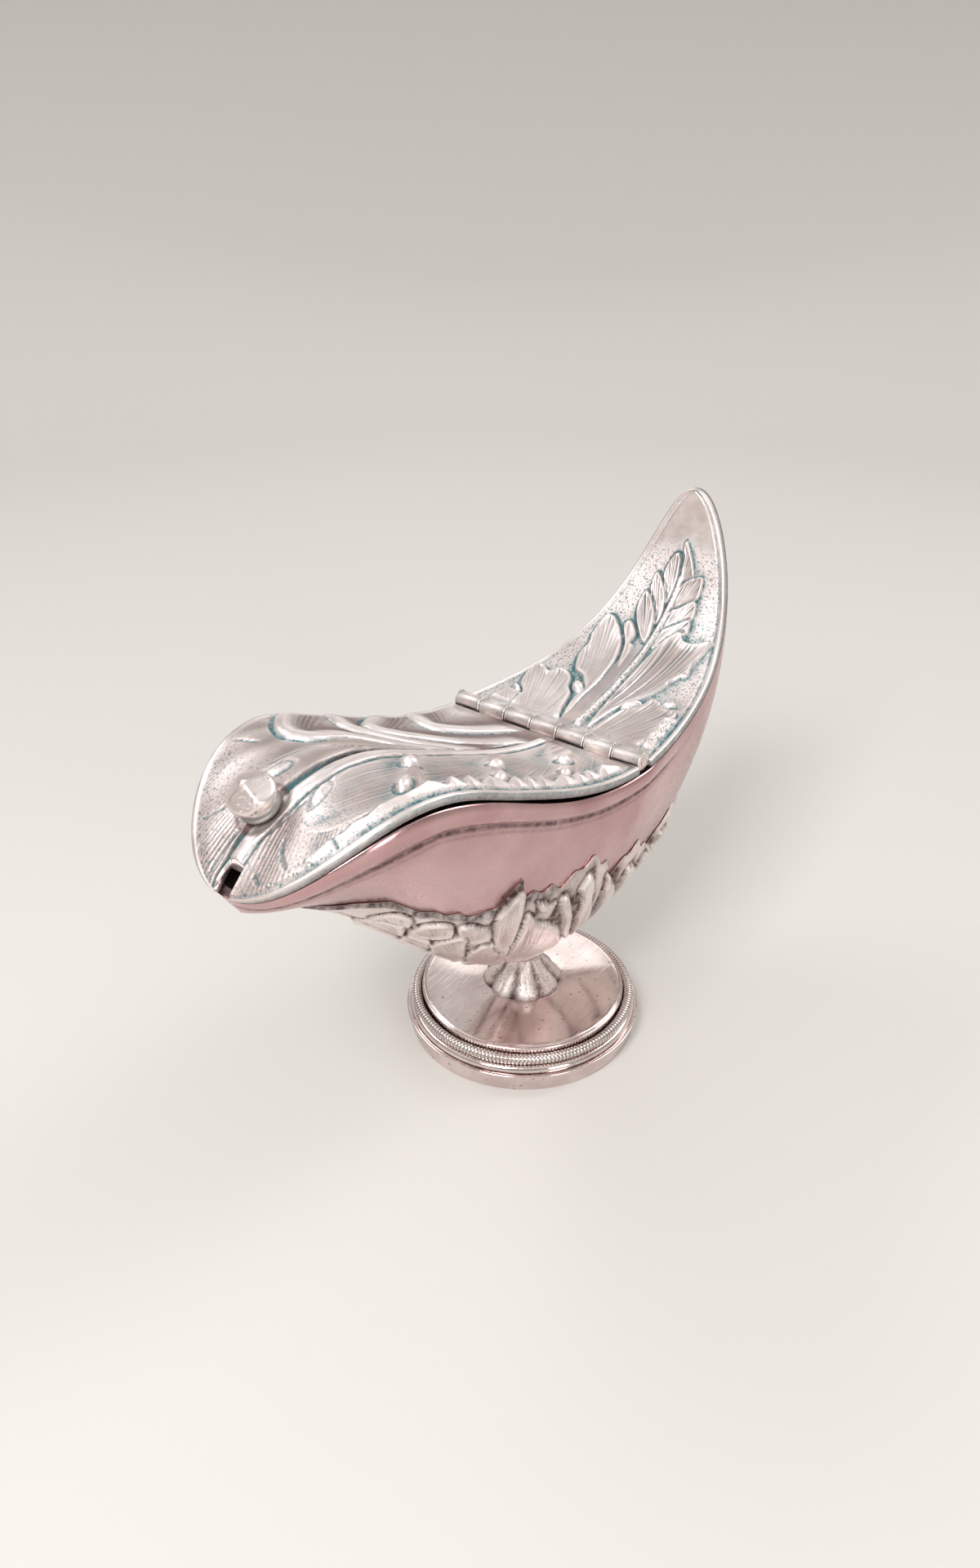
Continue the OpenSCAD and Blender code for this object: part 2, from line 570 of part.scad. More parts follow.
// Upper edge of the leaves, as [station, share of the way from keel to rim], tip and notch in turn
leaf_edge = [[-0.86, 0.1], [-0.8, 0.36], [-0.72, 0.43], [-0.63, 0.39], [-0.52, 0.47], [-0.45, 0.5],
             [-0.39, 0.68], [-0.32, 0.57], [-0.25, 0.66], [-0.13, 0.76], [-0.03, 0.6], [0.07, 0.7],
             [0.18, 0.55], [0.28, 0.58], [0.38, 0.44], [0.48, 0.44], [0.58, 0.3], [0.68, 0.08]];
leaf_pitch = 0.115;
calyx_from = leaf_edge[0][0];
calyx_to = leaf_edge[len(leaf_edge) - 1][0];
calyx_hole = pad_d / 2 + 0.4;
keel_rib_h = 0.8;
keel_rib_r = 0.22;
pleat_h = 1.1;
// q runs from -1 at the right edge of the leaves over 0 at the keel to 1 at the left edge
function pleats(t, q) = 0.5 + 0.5 * cos(360 * (t / leaf_pitch + 0.5 * abs(q)));
function calyx_relief(t, q) = calyx_t + keel_rib_h * hill(q, keel_rib_r)
    + pleat_h * pleats(t, q) * pow(sin(180 * abs(q)), 0.6) * ease(1 - abs(t), 0.1, 0.4);
function calyx_point(t, q, h) = let (s = q * lookup(t, leaf_edge))
    outer(t, s) + h * outer_normal(t, s);

module leaf_calyx() {
    m = 2 * calyx_half + 1;
    n = calyx_rows + 1;
    o = n * m;
    rows = [for (i = [0:calyx_rows]) mix(calyx_from, calyx_to, i / calyx_rows)];
    across = [for (j = [-calyx_half:calyx_half]) j / calyx_half];
    skin = flat_list([for (t = rows) [for (q = across)
        calyx_point(t, q, calyx_film + calyx_relief(t, q))]]);
    lining = flat_list([for (t = rows) [for (q = across) calyx_point(t, q, calyx_film)]]);
    edge = concat([for (i = [0:n-1]) i*m], [for (j = [1:m-1]) (n-1)*m + j],
                  [for (i = [n-2:-1:0]) i*m + m - 1], [for (j = [m-2:-1:0]) j]);
    color(silver) difference() {
        polyhedron(concat(skin, lining), concat(grid_faces(n, m, 0, false), grid_faces(n, m, o, true),
            strip_faces(edge, [for (i = edge) i + o], false)), convexity = 8);
        cylinder(r = calyx_hole, h = pad_top);
    }
}

// Foot, neck and the rod that ties them to the bowl

edge_r = foot_d / 2;
edge_z = 5.4;
edge_t = 0.4;
base_r = edge_r - 1;
base_t = 2.1;
base_round = 0.45;
// The wire lies on a ledge, and the top plate reaches out over it
bead_z = 8.9;
milled_r = edge_r - 2.9;
ledge_z = bead_z - milled_d / 2 - seat_gap;
plate_r = edge_r - 4.7;
plate_rise = 1.1;
cove = 0.45;
foot_bore = rod_d / 2 + rod_clear;

module foot() {
    rim_z = foot_h - plate_rise;
    wall_r = milled_r - milled_d / 2 - seat_gap;
    skirt_r = neck_base_d / 2;
    band_z = edge_z + 0.3;
    band_run = 2 * edge_t;
    dome = [for (k = [0:0.25:1]) [mix(plate_r, skirt_r, k), rim_z + plate_rise * k * k]];
    color(silver) rotate_extrude($fn = 128) polygon(concat(
        [[base_r - base_round, 0], [base_r, base_round], [base_r, edge_z - 2 * edge_t],
         [edge_r, edge_z - edge_t], [edge_r, edge_z]],
        [for (a = [0:15:90]) [edge_r - edge_t - band_run * sin(a), mix(ledge_z, band_z, cos(a))]],
        [[wall_r, ledge_z]],
        [for (a = [0:15:90]) [wall_r - cove * (1 - cos(a)), rim_z - cove * (2 - sin(a))]],
        dome,
        [[foot_bore, foot_h], [foot_bore, foot_h - foot_t], [skirt_r, foot_h - foot_t],
         [plate_r - foot_t, rim_z - foot_t], [wall_r - foot_t, ledge_z - foot_t],
         [base_r - base_t, edge_z - foot_t], [base_r - base_t, 0]]));
}

module milled_ring() {
    color(bright) rotate_extrude($fn = 128) translate([milled_r, bead_z]) circle(d = milled_d, $fn = 32);
}

// Neck: a waisted stem whose skirt is parted into petals
petals = 8;
neck_low = foot_h + seat_gap;
neck_top = pad_low - seat_gap;
neck_turns = 64;
neck_rings = 9;
waist_in = 0.9;
petal_in = 0.1;
// Radius at the share k of the neck's height: petals part at the skirt and die out at the top
function neck_r(k, a) = let (
    flare = mix(neck_base_d, neck_top_d, ease(k, 0, 0.75)) / 2 - waist_in * sin(180 * k),
    cleft = petal_in * (1 - ease(k, 0.35, 0.95)))
    flare * (1 - cleft * (1 - abs(cos(petals * a / 2))));

module neck() {
    rings = [for (i = [0:neck_rings]) let (k = i / neck_rings) [for (j = [0:neck_turns-1])
        let (a = 360 * j / neck_turns, r = neck_r(k, a), z = mix(neck_low, neck_top, k))
        [r * cos(a), r * sin(a), z]]];
    ring = function (i) [for (j = [0:neck_turns]) i * neck_turns + j % neck_turns];
    color(silver) difference() {
        polyhedron(flat_list(rings), concat(
            [for (i = [0:neck_rings-1]) each strip_faces(ring(i), ring(i + 1), false)],
            [[for (j = [0:neck_turns-1]) j]],
            [[for (j = [neck_turns-1:-1:0]) neck_rings * neck_turns + j]]), convexity = 4);
        translate([0, 0, neck_low - 1]) cylinder(r = foot_bore, h = neck_top - neck_low + 2);
    }
}

rod_washer_t = 1;
rod_washer_d = 2.6 * rod_d;
nut_d = 2 * rod_d;
nut_h = 0.8 * rod_d;
head_d = 1.9 * rod_d;
head_h = 0.6 * rod_d;
// The rod's end stands out under the nut
rod_over = 1;
washer_low = foot_h - foot_t - seat_gap - rod_washer_t;
nut_low = washer_low - seat_gap - nut_h;
head_low = pad_top + 2 * seat_gap + rod_washer_t;

module rod_washer(z) {
    translate([0, 0, z]) difference() {
        cylinder(d = rod_washer_d, h = rod_washer_t);
        translate([0, 0, -1]) cylinder(r = foot_bore, h = rod_washer_t + 2);
    }
}

module bowl_washer() {
    color(brass) rod_washer(pad_top + seat_gap);
}

module tie_washer() {
    color(brass) rod_washer(washer_low);
}

module tie_rod() {
    color(brass) {
        translate([0, 0, head_low]) cylinder(d = head_d, h = head_h);
        translate([0, 0, nut_low - rod_over])
            cylinder(d = rod_d, h = head_low + head_h / 2 - nut_low + rod_over);
    }
}

module tie_nut() {
    color(brass) translate([0, 0, nut_low]) difference() {
        cylinder(d = nut_d, h = nut_h, $fn = 6);
        translate([0, 0, -1]) cylinder(r = foot_bore, h = nut_h + 2);
    }
}

hull();
leaf_calyx();
stern_deck();
lid();
knob();
knob_screw();
knob_washer();
deck_knuckle(1);  // deck_knuckle_1
deck_knuckle(2);  // deck_knuckle_2
deck_knuckle(3);  // deck_knuckle_3
deck_knuckle(4);  // deck_knuckle_4
lid_knuckle(1);  // lid_knuckle_1
lid_knuckle(2);  // lid_knuckle_2
lid_knuckle(3);  // lid_knuckle_3
hinge_pin();
neck();
foot();
milled_ring();
tie_rod();
bowl_washer();
tie_washer();
tie_nut();
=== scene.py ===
"""Looks of an incense boat: silvered cast leaves, turned foot and hinge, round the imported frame."""
import logging
from dataclasses import dataclass, field
from enum import Enum
from typing import Callable, Dict, List, Optional, Sequence, Tuple

import bmesh
import bpy
import numpy as np
from mathutils import Matrix, Vector


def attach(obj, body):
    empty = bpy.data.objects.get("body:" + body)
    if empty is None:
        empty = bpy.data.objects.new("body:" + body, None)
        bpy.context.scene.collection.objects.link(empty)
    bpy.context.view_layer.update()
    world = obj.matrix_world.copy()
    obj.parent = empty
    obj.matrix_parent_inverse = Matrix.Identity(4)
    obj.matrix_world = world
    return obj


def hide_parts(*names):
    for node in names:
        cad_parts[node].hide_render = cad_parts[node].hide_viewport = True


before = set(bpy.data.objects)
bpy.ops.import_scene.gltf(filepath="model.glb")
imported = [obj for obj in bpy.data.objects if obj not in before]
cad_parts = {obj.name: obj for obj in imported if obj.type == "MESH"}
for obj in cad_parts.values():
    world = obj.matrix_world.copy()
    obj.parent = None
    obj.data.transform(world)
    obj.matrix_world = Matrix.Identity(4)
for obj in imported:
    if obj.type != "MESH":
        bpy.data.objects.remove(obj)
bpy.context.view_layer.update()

LOG = logging.getLogger("incense_boat")
MM = 0.001
Array = np.ndarray
Pair = Tuple[float, float]
Triple = Tuple[float, float, float]
Outline = Tuple[Pair, ...]

# Place of the knob on the lid: along the rim from its lowest point, and across, in mm
KNOB_AT = (97.2, 2.5)
# Radius of the holes that the tie rod passes through, in mm
ROD_BORE_R = 2.1
# Part of a noise's range over which the two tones of a silvered face change
TONE_WINDOW = (0.35, 0.65)
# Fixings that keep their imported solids
BARE_FIXINGS = ("tie_rod", "tie_nut", "tie_washer", "bowl_washer", "knob_screw", "knob_washer")


class Body(Enum):
    """The two bodies of the frame that pieces ride on."""

    BOAT = "boat"
    LID = "lid"


class Slot(Enum):
    """Material slots of the record, passed along with the new pieces but not read."""

    CAST = "cast_silver"
    POLISHED = "polished_silver"


# Small functions on arrays


def ease(x: Array, a: float, b: float) -> Array:
    """Smooth step from 0 at a to 1 at b."""
    k = np.clip((np.asarray(x, float) - a) / (b - a), 0.0, 1.0)
    return k * k * (3.0 - 2.0 * k)


def hill(d: Array, r: float) -> Array:
    """Smooth hill of height 1 at distance 0 that ends at distance r."""
    k = np.clip(1.0 - (np.asarray(d, float) / r) ** 2, 0.0, 1.0)
    return k * k


def mix(a: Array, b: Array, k: Array) -> Array:
    """Straight blend from a to b."""
    return a + (b - a) * k


def half_round(x: Array) -> Array:
    """Height of a half circle of radius 1 at a distance x from its middle, and 0 outside it."""
    return np.sqrt(np.maximum(1 - x**2, 0))


def zigzag(u: Array, pitch: float, sway: float, sway_mm: float) -> Array:
    """Zigzag between 0 and 1 along u, whose steps a sine makes uneven."""
    return np.abs((u / pitch + sway * np.sin(u / sway_mm)) % 1.0 - 0.5) * 2.0


def hair_lines(phase: Array, beat: Array) -> Array:
    """Fine tool lines: the cosine of a phase, swelling and fading with the sine of a beat."""
    return np.cos(phase) * (0.6 + 0.4 * np.sin(beat))


def on_table(table: Outline, x: Array) -> Array:
    """Value at x on the straight steps through a table of points (x, value)."""
    return np.interp(x, *np.array(table).T)


def bezier(guides: Outline, t: Array) -> Array:
    """Cubic Bezier curve: the four guides weighed by the Bernstein powers of t.

    Args:
        guides: four guide points.
        t: shares of the way along the curve.

    Returns:
        Points of the curve.
    """
    p = np.asarray(guides, float)
    t = np.asarray(t, float)[..., None]
    q = 1.0 - t
    return q**3 * p[0] + 3 * q * q * t * p[1] + 3 * q * t * t * p[2] + t**3 * p[3]


def spline(points: Outline, steps: int, closed: bool) -> Array:
    """Smooth line through points: each span is the Catmull-Rom cubic of its ends and their neighbours.

    Args:
        points: points that the line passes through.
        steps: places on each span.
        closed: the last point leads back to the first.

    Returns:
        Points of the line.
    """
    p = np.asarray(points, float)
    if closed:
        a, b, c, d = (np.roll(p, 1 - i, 0)[:, None, :] for i in range(4))
    else:
        p = np.r_[[2 * p[0] - p[1]], p, [2 * p[-1] - p[-2]]]
        a, b, c, d = (p[i:len(p) - 3 + i][:, None, :] for i in range(4))
    k = np.linspace(0, 1, steps, endpoint=False)[None, :, None]
    curve = 0.5 * (2 * b + (c - a) * k + (2 * a - 5 * b + 4 * c - d) * k**2
                   + (3 * b - a - 3 * c + d) * k**3)
    curve = curve.reshape(-1, 2)
    return curve if closed else np.r_[curve, p[-2:-1]]


def box_blur(h: Array, cells: int) -> Array:
    """Mean of each cell's square neighbourhood, by running sums along both axes, done twice.

    Args:
        h: heights on a grid.
        cells: how many cells the neighbourhood reaches to each side.

    Returns:
        The blurred grid.
    """
    for _ in range(2):
        for axis in (0, 1):
            pad = [(0, 0), (0, 0)]
            pad[axis] = (cells + 1, cells)
            run = np.cumsum(np.pad(h, pad, mode="edge"), axis=axis)
            n = h.shape[axis]
            high = np.take(run, np.arange(2 * cells + 1, 2 * cells + 1 + n), axis=axis)
            h = (high - np.take(run, np.arange(n), axis=axis)) / (2 * cells + 1)
    return h


def full_turn(steps: int) -> Array:
    """Angles all round, as a column."""
    return np.linspace(0.0, 2 * np.pi, steps, endpoint=False)[:, None]


def round_axis(r: Array, z: Array, a: Array) -> Array:
    """Points at radius r, height z and angle a round the Z axis: (r cos a, r sin a, z)."""
    r, z, a = np.broadcast_arrays(r, z, a)
    return np.stack([r * np.cos(a), r * np.sin(a), z], -1)


def with_back(fronts: Dict[str, Tuple[Array, float]], columns: int) -> Dict[str, Array]:
    """Values of a carved grid, each with one plain value over the columns of its plain back.

    Args:
        fronts: for each name the values of the carved grid and the back's plain value.
        columns: columns of the back.

    Returns:
        For each name the values of the whole grid, row by row.
    """
    return {key: np.c_[front, np.full((len(front), columns), float(back))].ravel()
            for key, (front, back) in fronts.items()}


# Meshes


@dataclass
class Surface:
    """Vertices in millimetres, faces and named values per vertex, ready to become a mesh."""

    points: Array
    faces: List[Array] = field(default_factory=list)
    values: Dict[str, Array] = field(default_factory=dict)

    @staticmethod
    def grid_faces(n: int, m: int, wrap_rows: bool = False, wrap_cols: bool = False) -> Array:
        """Quads of an n by m grid whose points count row by row.

        Args:
            n: rows.
            m: columns.
            wrap_rows: the last row meets the first.
            wrap_cols: the last column meets the first.

        Returns:
            An array of quads.
        """
        i = np.arange(n if wrap_rows else n - 1)[:, None]
        j = np.arange(m if wrap_cols else m - 1)[None, :]
        i2, j2 = (i + 1) % n, (j + 1) % m
        quads = np.stack([i * m + j, i * m + j2, i2 * m + j2, i2 * m + j], -1)
        return quads.reshape(-1, 4)

    @classmethod
    def from_grid(cls, grid: Array, wrap_rows: bool = False, wrap_cols: bool = False,
                  flip: bool = False) -> "Surface":
        """Makes a surface of a grid of points.

        Args:
            grid: points as rows by columns by three.
            wrap_rows: the last row meets the first.
            wrap_cols: the last column meets the first.
            flip: turns the faces round.

        Returns:
            The surface.
        """
        n, m = grid.shape[:2]
        faces = cls.grid_faces(n, m, wrap_rows, wrap_cols)
        return cls(grid.reshape(-1, 3), [faces[:, ::-1] if flip else faces])

    def close_ends(self, n: int, m: int, mid: int) -> None:
        """Closes the first and the last of a grid's loops with fans of triangles.

        Args:
            n: number of loops.
            m: points of each loop.
            mid: the loop's point that its fan spreads from.
        """
        ring = np.arange(m)
        after = np.roll(ring, -1)
        keep = (ring != mid) & (after != mid)
        fan = np.stack([np.full(keep.sum(), mid), ring[keep], after[keep]], -1)
        self.faces += [fan[:, ::-1], fan + (n - 1) * m]

    def joined(self, other: "Surface") -> "Surface":
        """Puts another surface into the same mesh; a value that one lacks is 0 there.

        Args:
            other: the surface that is added.

        Returns:
            Both as one surface.
        """
        n = len(self.points)
        values = {}
        for key in {**self.values, **other.values}:
            mine = self.values.get(key, np.zeros(n))
            values[key] = np.r_[mine, other.values.get(key, np.zeros(len(other.points)))]
        return Surface(np.r_[self.points, other.points],
                       self.faces + [f + n for f in other.faces], values)

    def moved(self, matrix: Array, offset: Array) -> "Surface":
        """Turns the points by a matrix of three columns, then shifts them."""
        return Surface(self.points @ np.asarray(matrix, float).T + offset, self.faces, self.values)

    def build(self, name: str, smooth_deg: float = 180.0) -> bpy.types.Object:
        """Writes the mesh and makes its object at the origin.

        Args:
            name: name of the piece.
            smooth_deg: edges sharper than this stay crisp.

        Returns:
            The object, linked to the scene.
        """
        mesh = bpy.data.meshes.new(name)
        loops = [f.ravel() for f in self.faces]
        sizes = [np.full(len(f), f.shape[1]) for f in self.faces]
        corner, size = np.concatenate(loops), np.concatenate(sizes)
        mesh.vertices.add(len(self.points))
        mesh.vertices.foreach_set("co", (self.points * MM).astype(np.float32).ravel())
        mesh.loops.add(len(corner))
        mesh.loops.foreach_set("vertex_index", corner.astype(np.int32))
        mesh.polygons.add(len(size))
        mesh.polygons.foreach_set("loop_start", (np.cumsum(size) - size).astype(np.int32))
        mesh.polygons.foreach_set("use_smooth", np.ones(len(size), bool))
        mesh.update(calc_edges=True)
        mesh.validate()
        work = bmesh.new()
        work.from_mesh(mesh)
        bmesh.ops.recalc_face_normals(work, faces=work.faces)
        work.to_mesh(mesh)
        work.free()
        for key, value in self.values.items():
            layer = mesh.attributes.new(key, "FLOAT", "POINT")
            layer.data.foreach_set("value", np.asarray(value, np.float32))
        if smooth_deg < 180.0:
            mesh.set_sharp_from_angle(angle=np.radians(smooth_deg))
        obj = bpy.data.objects.new(name, mesh)
        bpy.context.scene.collection.objects.link(obj)
        return obj


def lathe(profile: Array, turns: int) -> Surface:
    """Turns a closed profile of points (r, z) round the Z axis into a closed surface."""
    return Surface.from_grid(round_axis(*profile.T, full_turn(turns)), True, True)


def arc(centre: Pair, radius: float, start: float, end: float, n: int) -> Array:
    """Points of an arc, angles in degrees."""
    a = np.radians(np.linspace(start, end, n))
    return np.stack([centre[0] + radius * np.cos(a), centre[1] + radius * np.sin(a)], -1)


# Materials


def linear(hex_colour: str) -> Tuple[float, float, float, float]:
    """Turns an sRGB colour into linear light.

    Args:
        hex_colour: the colour as a hash sign and six hex digits.

    Returns:
        Linear red, green and blue, and an alpha of 1.
    """
    c = np.array([int(hex_colour[i:i + 2], 16) for i in (1, 3, 5)]) / 255.0
    lin = np.where(c <= 0.04045, c / 12.92, ((c + 0.055) / 1.055) ** 2.4)
    return (float(lin[0]), float(lin[1]), float(lin[2]), 1.0)


def per_mm(size: float) -> float:
    """Texture scale, in features per metre, of a pattern whose features are this many mm."""
    return 1.0 / (size * MM)


def add(tree: bpy.types.NodeTree, kind: str, links: Optional[dict] = None,
        **settings: object) -> bpy.types.Node:
    """Adds a node.

    Args:
        tree: node tree that takes it.
        kind: Blender's name of the node type.
        links: input name or number to an output socket, or to the number or colour it is set to.
        **settings: the node's own properties.

    Returns:
        The node.
    """
    node = tree.nodes.new(kind)
    for key, value in settings.items():
        setattr(node, key, value)
    for key, value in (links or {}).items():
        if isinstance(value, bpy.types.NodeSocket):
            tree.links.new(value, node.inputs[key])
        else:
            node.inputs[key].default_value = value
    return node


def new_material(name: str) -> Tuple[bpy.types.Material, bpy.types.NodeTree, bpy.types.Node]:
    """Makes a node material with only a principled shader, wired to its output.

    Args:
        name: name of the real material.

    Returns:
        The material, its node tree and its shader.
    """
    material = bpy.data.materials.new(name)
    material.use_nodes = True
    tree = material.node_tree
    tree.nodes.clear()
    shader = add(tree, "ShaderNodeBsdfPrincipled")
    add(tree, "ShaderNodeOutputMaterial", {"Surface": shader.outputs[0]})
    return material, tree, shader


@dataclass(frozen=True)
class CastSilver:
    """Cast brass, chased, silvered and worn by handling.

    The eye sees a warm white metal with soft reflections, bright where fingers rub the crests,
    and blue-green tarnish that no cloth reaches in the recesses. Painted brown shade darkens the
    hollows, and a dark colour of dirt and painted shade lies in creases. Grounds are granular.
    """

    name: str = "silvered_cast_brass"
    light: str = "#f2e9e7"
    shade: str = "#dbcecb"
    # Colour of the painted brown shade in hollows
    brown: str = "#74524b"
    tarnish: str = "#47757b"
    # Dark colour of dirt and painted shade in creases and corners
    dirt_and_shade: str = "#38201f"
    roughness: float = 0.4
    wear: Pair = (-0.05, 0.12)
    dull_rough: float = 0.3
    grain_rough: float = 0.18
    crust_metal: float = 0.5
    tarnish_amount: float = 0.95
    pit_amount: float = 0.8
    grit_mm: float = 0.55
    blotch_mm: float = 11.0
    speck_mm: float = 2.2
    grit_height_mm: float = 0.1
    grit_least: float = 0.06

    def make(self) -> bpy.types.Material:
        """Builds the node material; recess, crest, grain, dirt with painted shade and painted brown shade
        come from the mesh.

        Returns:
            The material.
        """
        material, tree, shader = new_material(self.name)
        place = add(tree, "ShaderNodeTexCoord").outputs["Object"]
        recess, crest, grain, dirt_and_shade, painted_shade = (
            add(tree, "ShaderNodeAttribute", attribute_name=key).outputs["Fac"]
            for key in ("recess", "crest", "grain", "dirt_and_shade", "tone"))
        blotch = add(tree, "ShaderNodeTexNoise",
                     {"Vector": place, "Scale": per_mm(self.blotch_mm), "Detail": 5.0}).outputs["Fac"]
        grit = add(tree, "ShaderNodeTexNoise",
                   {"Vector": place, "Scale": per_mm(self.grit_mm), "Detail": 3.0}).outputs["Fac"]
        speck = add(tree, "ShaderNodeTexNoise",
                    {"Vector": place, "Scale": per_mm(self.speck_mm), "Detail": 6.0,
                     "Roughness": 0.7}).outputs["Fac"]
        # Metal in two tones, pale where it is rubbed, then painted brown shade in the hollows
        tone = add(tree, "ShaderNodeMapRange",
                   {"Value": blotch, "From Min": TONE_WINDOW[0], "From Max": TONE_WINDOW[1]}).outputs[0]
        metal = add(tree, "ShaderNodeMix", {0: tone, 6: linear(self.shade), 7: linear(self.light)},
                    data_type="RGBA").outputs[2]
        rubbed = add(tree, "ShaderNodeMix", {0: crest, 6: metal, 7: linear(self.light)},
                     data_type="RGBA").outputs[2]
        # Painted shade: brown mixed in as far as the mesh's tone attribute asks
        with_painted_shade = add(tree, "ShaderNodeMix", {0: painted_shade, 6: rubbed, 7: linear(self.brown)},
                      data_type="RGBA").outputs[2]
        # Tarnish in the recesses and in the pits of granular grounds, then a dark colour of dirt and painted
        # shade
        broken = add(tree, "ShaderNodeMapRange",
                     {"Value": speck, "From Min": 0.36, "From Max": 0.6, "To Min": 0.5,
                      "To Max": 1.2}).outputs[0]
        hidden = add(tree, "ShaderNodeMath", {0: recess, 1: broken}, operation="MULTIPLY").outputs[0]
        stain = add(tree, "ShaderNodeMath", {0: hidden, 1: self.tarnish_amount},
                    operation="MULTIPLY", use_clamp=True).outputs[0]
        stained = add(tree, "ShaderNodeMix", {0: stain, 6: with_painted_shade, 7: linear(self.tarnish)},
                      data_type="RGBA").outputs[2]
        pitted = add(tree, "ShaderNodeMapRange",
                     {"Value": grit, "From Min": 0.54, "From Max": 0.64}).outputs[0]
        pits = add(tree, "ShaderNodeMath", {0: pitted, 1: grain}, operation="MULTIPLY").outputs[0]
        dotted = add(tree, "ShaderNodeMath", {0: pits, 1: self.pit_amount},
                     operation="MULTIPLY").outputs[0]
        ground = add(tree, "ShaderNodeMix", {0: dotted, 6: stained, 7: linear(self.tarnish)},
                     data_type="RGBA").outputs[2]
        crust = add(tree, "ShaderNodeMath", {0: dirt_and_shade, 1: broken}, operation="MULTIPLY",
                    use_clamp=True).outputs[0]
        colour = add(tree, "ShaderNodeMix", {0: crust, 6: ground, 7: linear(self.dirt_and_shade)},
                     data_type="RGBA").outputs[2]
        tree.links.new(colour, shader.inputs["Base Color"])
        # Tarnish and the dark colour of dirt and painted shade are half metal and dull; wear and grain
        # roughen the rest
        dull = add(tree, "ShaderNodeMath", {0: stain, 1: crust}, operation="MAXIMUM").outputs[0]
        metallic = add(tree, "ShaderNodeMapRange",
                       {"Value": dull, "To Min": 1.0, "To Max": self.crust_metal}).outputs[0]
        tree.links.new(metallic, shader.inputs["Metallic"])
        worn = add(tree, "ShaderNodeMapRange",
                   {"Value": speck, "From Min": 0.35, "From Max": 0.7,
                    "To Min": self.roughness + self.wear[0],
                    "To Max": self.roughness + self.wear[1]}).outputs[0]
        rough = add(tree, "ShaderNodeMath", {0: dull, 1: self.dull_rough, 2: worn},
                    operation="MULTIPLY_ADD").outputs[0]
        coarse = add(tree, "ShaderNodeMath", {0: grain, 1: self.grain_rough, 2: rough},
                     operation="MULTIPLY_ADD").outputs[0]
        tree.links.new(coarse, shader.inputs["Roughness"])
        lift = add(tree, "ShaderNodeMapRange",
                   {"Value": grain, "To Min": self.grit_least, "To Max": 1.0}).outputs[0]
        bump = add(tree, "ShaderNodeBump",
                   {"Height": grit, "Strength": lift, "Distance": self.grit_height_mm * MM})
        tree.links.new(bump.outputs[0], shader.inputs["Normal"])
        return material


@dataclass(frozen=True)
class TurnedSilver:
    """Brass turned on the lathe or filed, silvered and polished.

    The eye sees a clear mirror with small scratches and dull specks.
    """

    name: str = "silvered_turned_brass"
    light: str = "#ecdfdc"
    shade: str = "#d6c5c2"
    tarnish: str = "#56605c"
    roughness: float = 0.1
    scratch_rough: float = 0.2
    stain_rough: float = 0.35
    scratch_mm: float = 0.4
    scratch_run_mm: float = 9.0
    scratch_turn: Triple = (0.3, 0.2, 0.6)
    scratch_bump: float = 0.15
    scratch_deep_mm: float = 0.05
    speck_mm: float = 1.3
    speck_most: float = 0.6
    blotch_mm: float = 12.0

    def make(self) -> bpy.types.Material:
        """Builds the node material; recess comes from the mesh.

        Returns:
            The material.
        """
        material, tree, shader = new_material(self.name)
        place = add(tree, "ShaderNodeTexCoord").outputs["Object"]
        recess = add(tree, "ShaderNodeAttribute", attribute_name="recess").outputs["Fac"]
        blotch = add(tree, "ShaderNodeTexNoise",
                     {"Vector": place, "Scale": per_mm(self.blotch_mm), "Detail": 4.0}).outputs["Fac"]
        speck = add(tree, "ShaderNodeTexNoise",
                    {"Vector": place, "Scale": per_mm(self.speck_mm), "Detail": 2.0}).outputs["Fac"]
        drawn = add(tree, "ShaderNodeMapping",
                    {"Vector": place, "Rotation": self.scratch_turn,
                     "Scale": (per_mm(self.scratch_run_mm), per_mm(self.scratch_mm),
                               per_mm(self.scratch_mm))}).outputs[0]
        scratch = add(tree, "ShaderNodeTexNoise",
                      {"Vector": drawn, "Scale": 1.0, "Detail": 2.0}).outputs["Fac"]
        tone = add(tree, "ShaderNodeMapRange",
                   {"Value": blotch, "From Min": TONE_WINDOW[0], "From Max": TONE_WINDOW[1]}).outputs[0]
        metal = add(tree, "ShaderNodeMix", {0: tone, 6: linear(self.shade), 7: linear(self.light)},
                    data_type="RGBA").outputs[2]
        spots = add(tree, "ShaderNodeMapRange",
                    {"Value": speck, "From Min": 0.66, "From Max": 0.72,
                     "To Max": self.speck_most}).outputs[0]
        stain = add(tree, "ShaderNodeMath", {0: spots, 1: recess}, operation="MAXIMUM",
                    use_clamp=True).outputs[0]
        colour = add(tree, "ShaderNodeMix", {0: stain, 6: metal, 7: linear(self.tarnish)},
                     data_type="RGBA").outputs[2]
        tree.links.new(colour, shader.inputs["Base Color"])
        shader.inputs["Metallic"].default_value = 1.0
        fine = add(tree, "ShaderNodeMapRange",
                   {"Value": scratch, "From Min": 0.55, "From Max": 0.72, "To Min": self.roughness,
                    "To Max": self.roughness + self.scratch_rough}).outputs[0]
        rough = add(tree, "ShaderNodeMath", {0: stain, 1: self.stain_rough, 2: fine},
                    operation="MULTIPLY_ADD").outputs[0]
        tree.links.new(rough, shader.inputs["Roughness"])
        bump = add(tree, "ShaderNodeBump", {"Height": scratch, "Strength": self.scratch_bump,
                                            "Distance": self.scratch_deep_mm * MM})
        tree.links.new(bump.outputs[0], shader.inputs["Normal"])
        return material


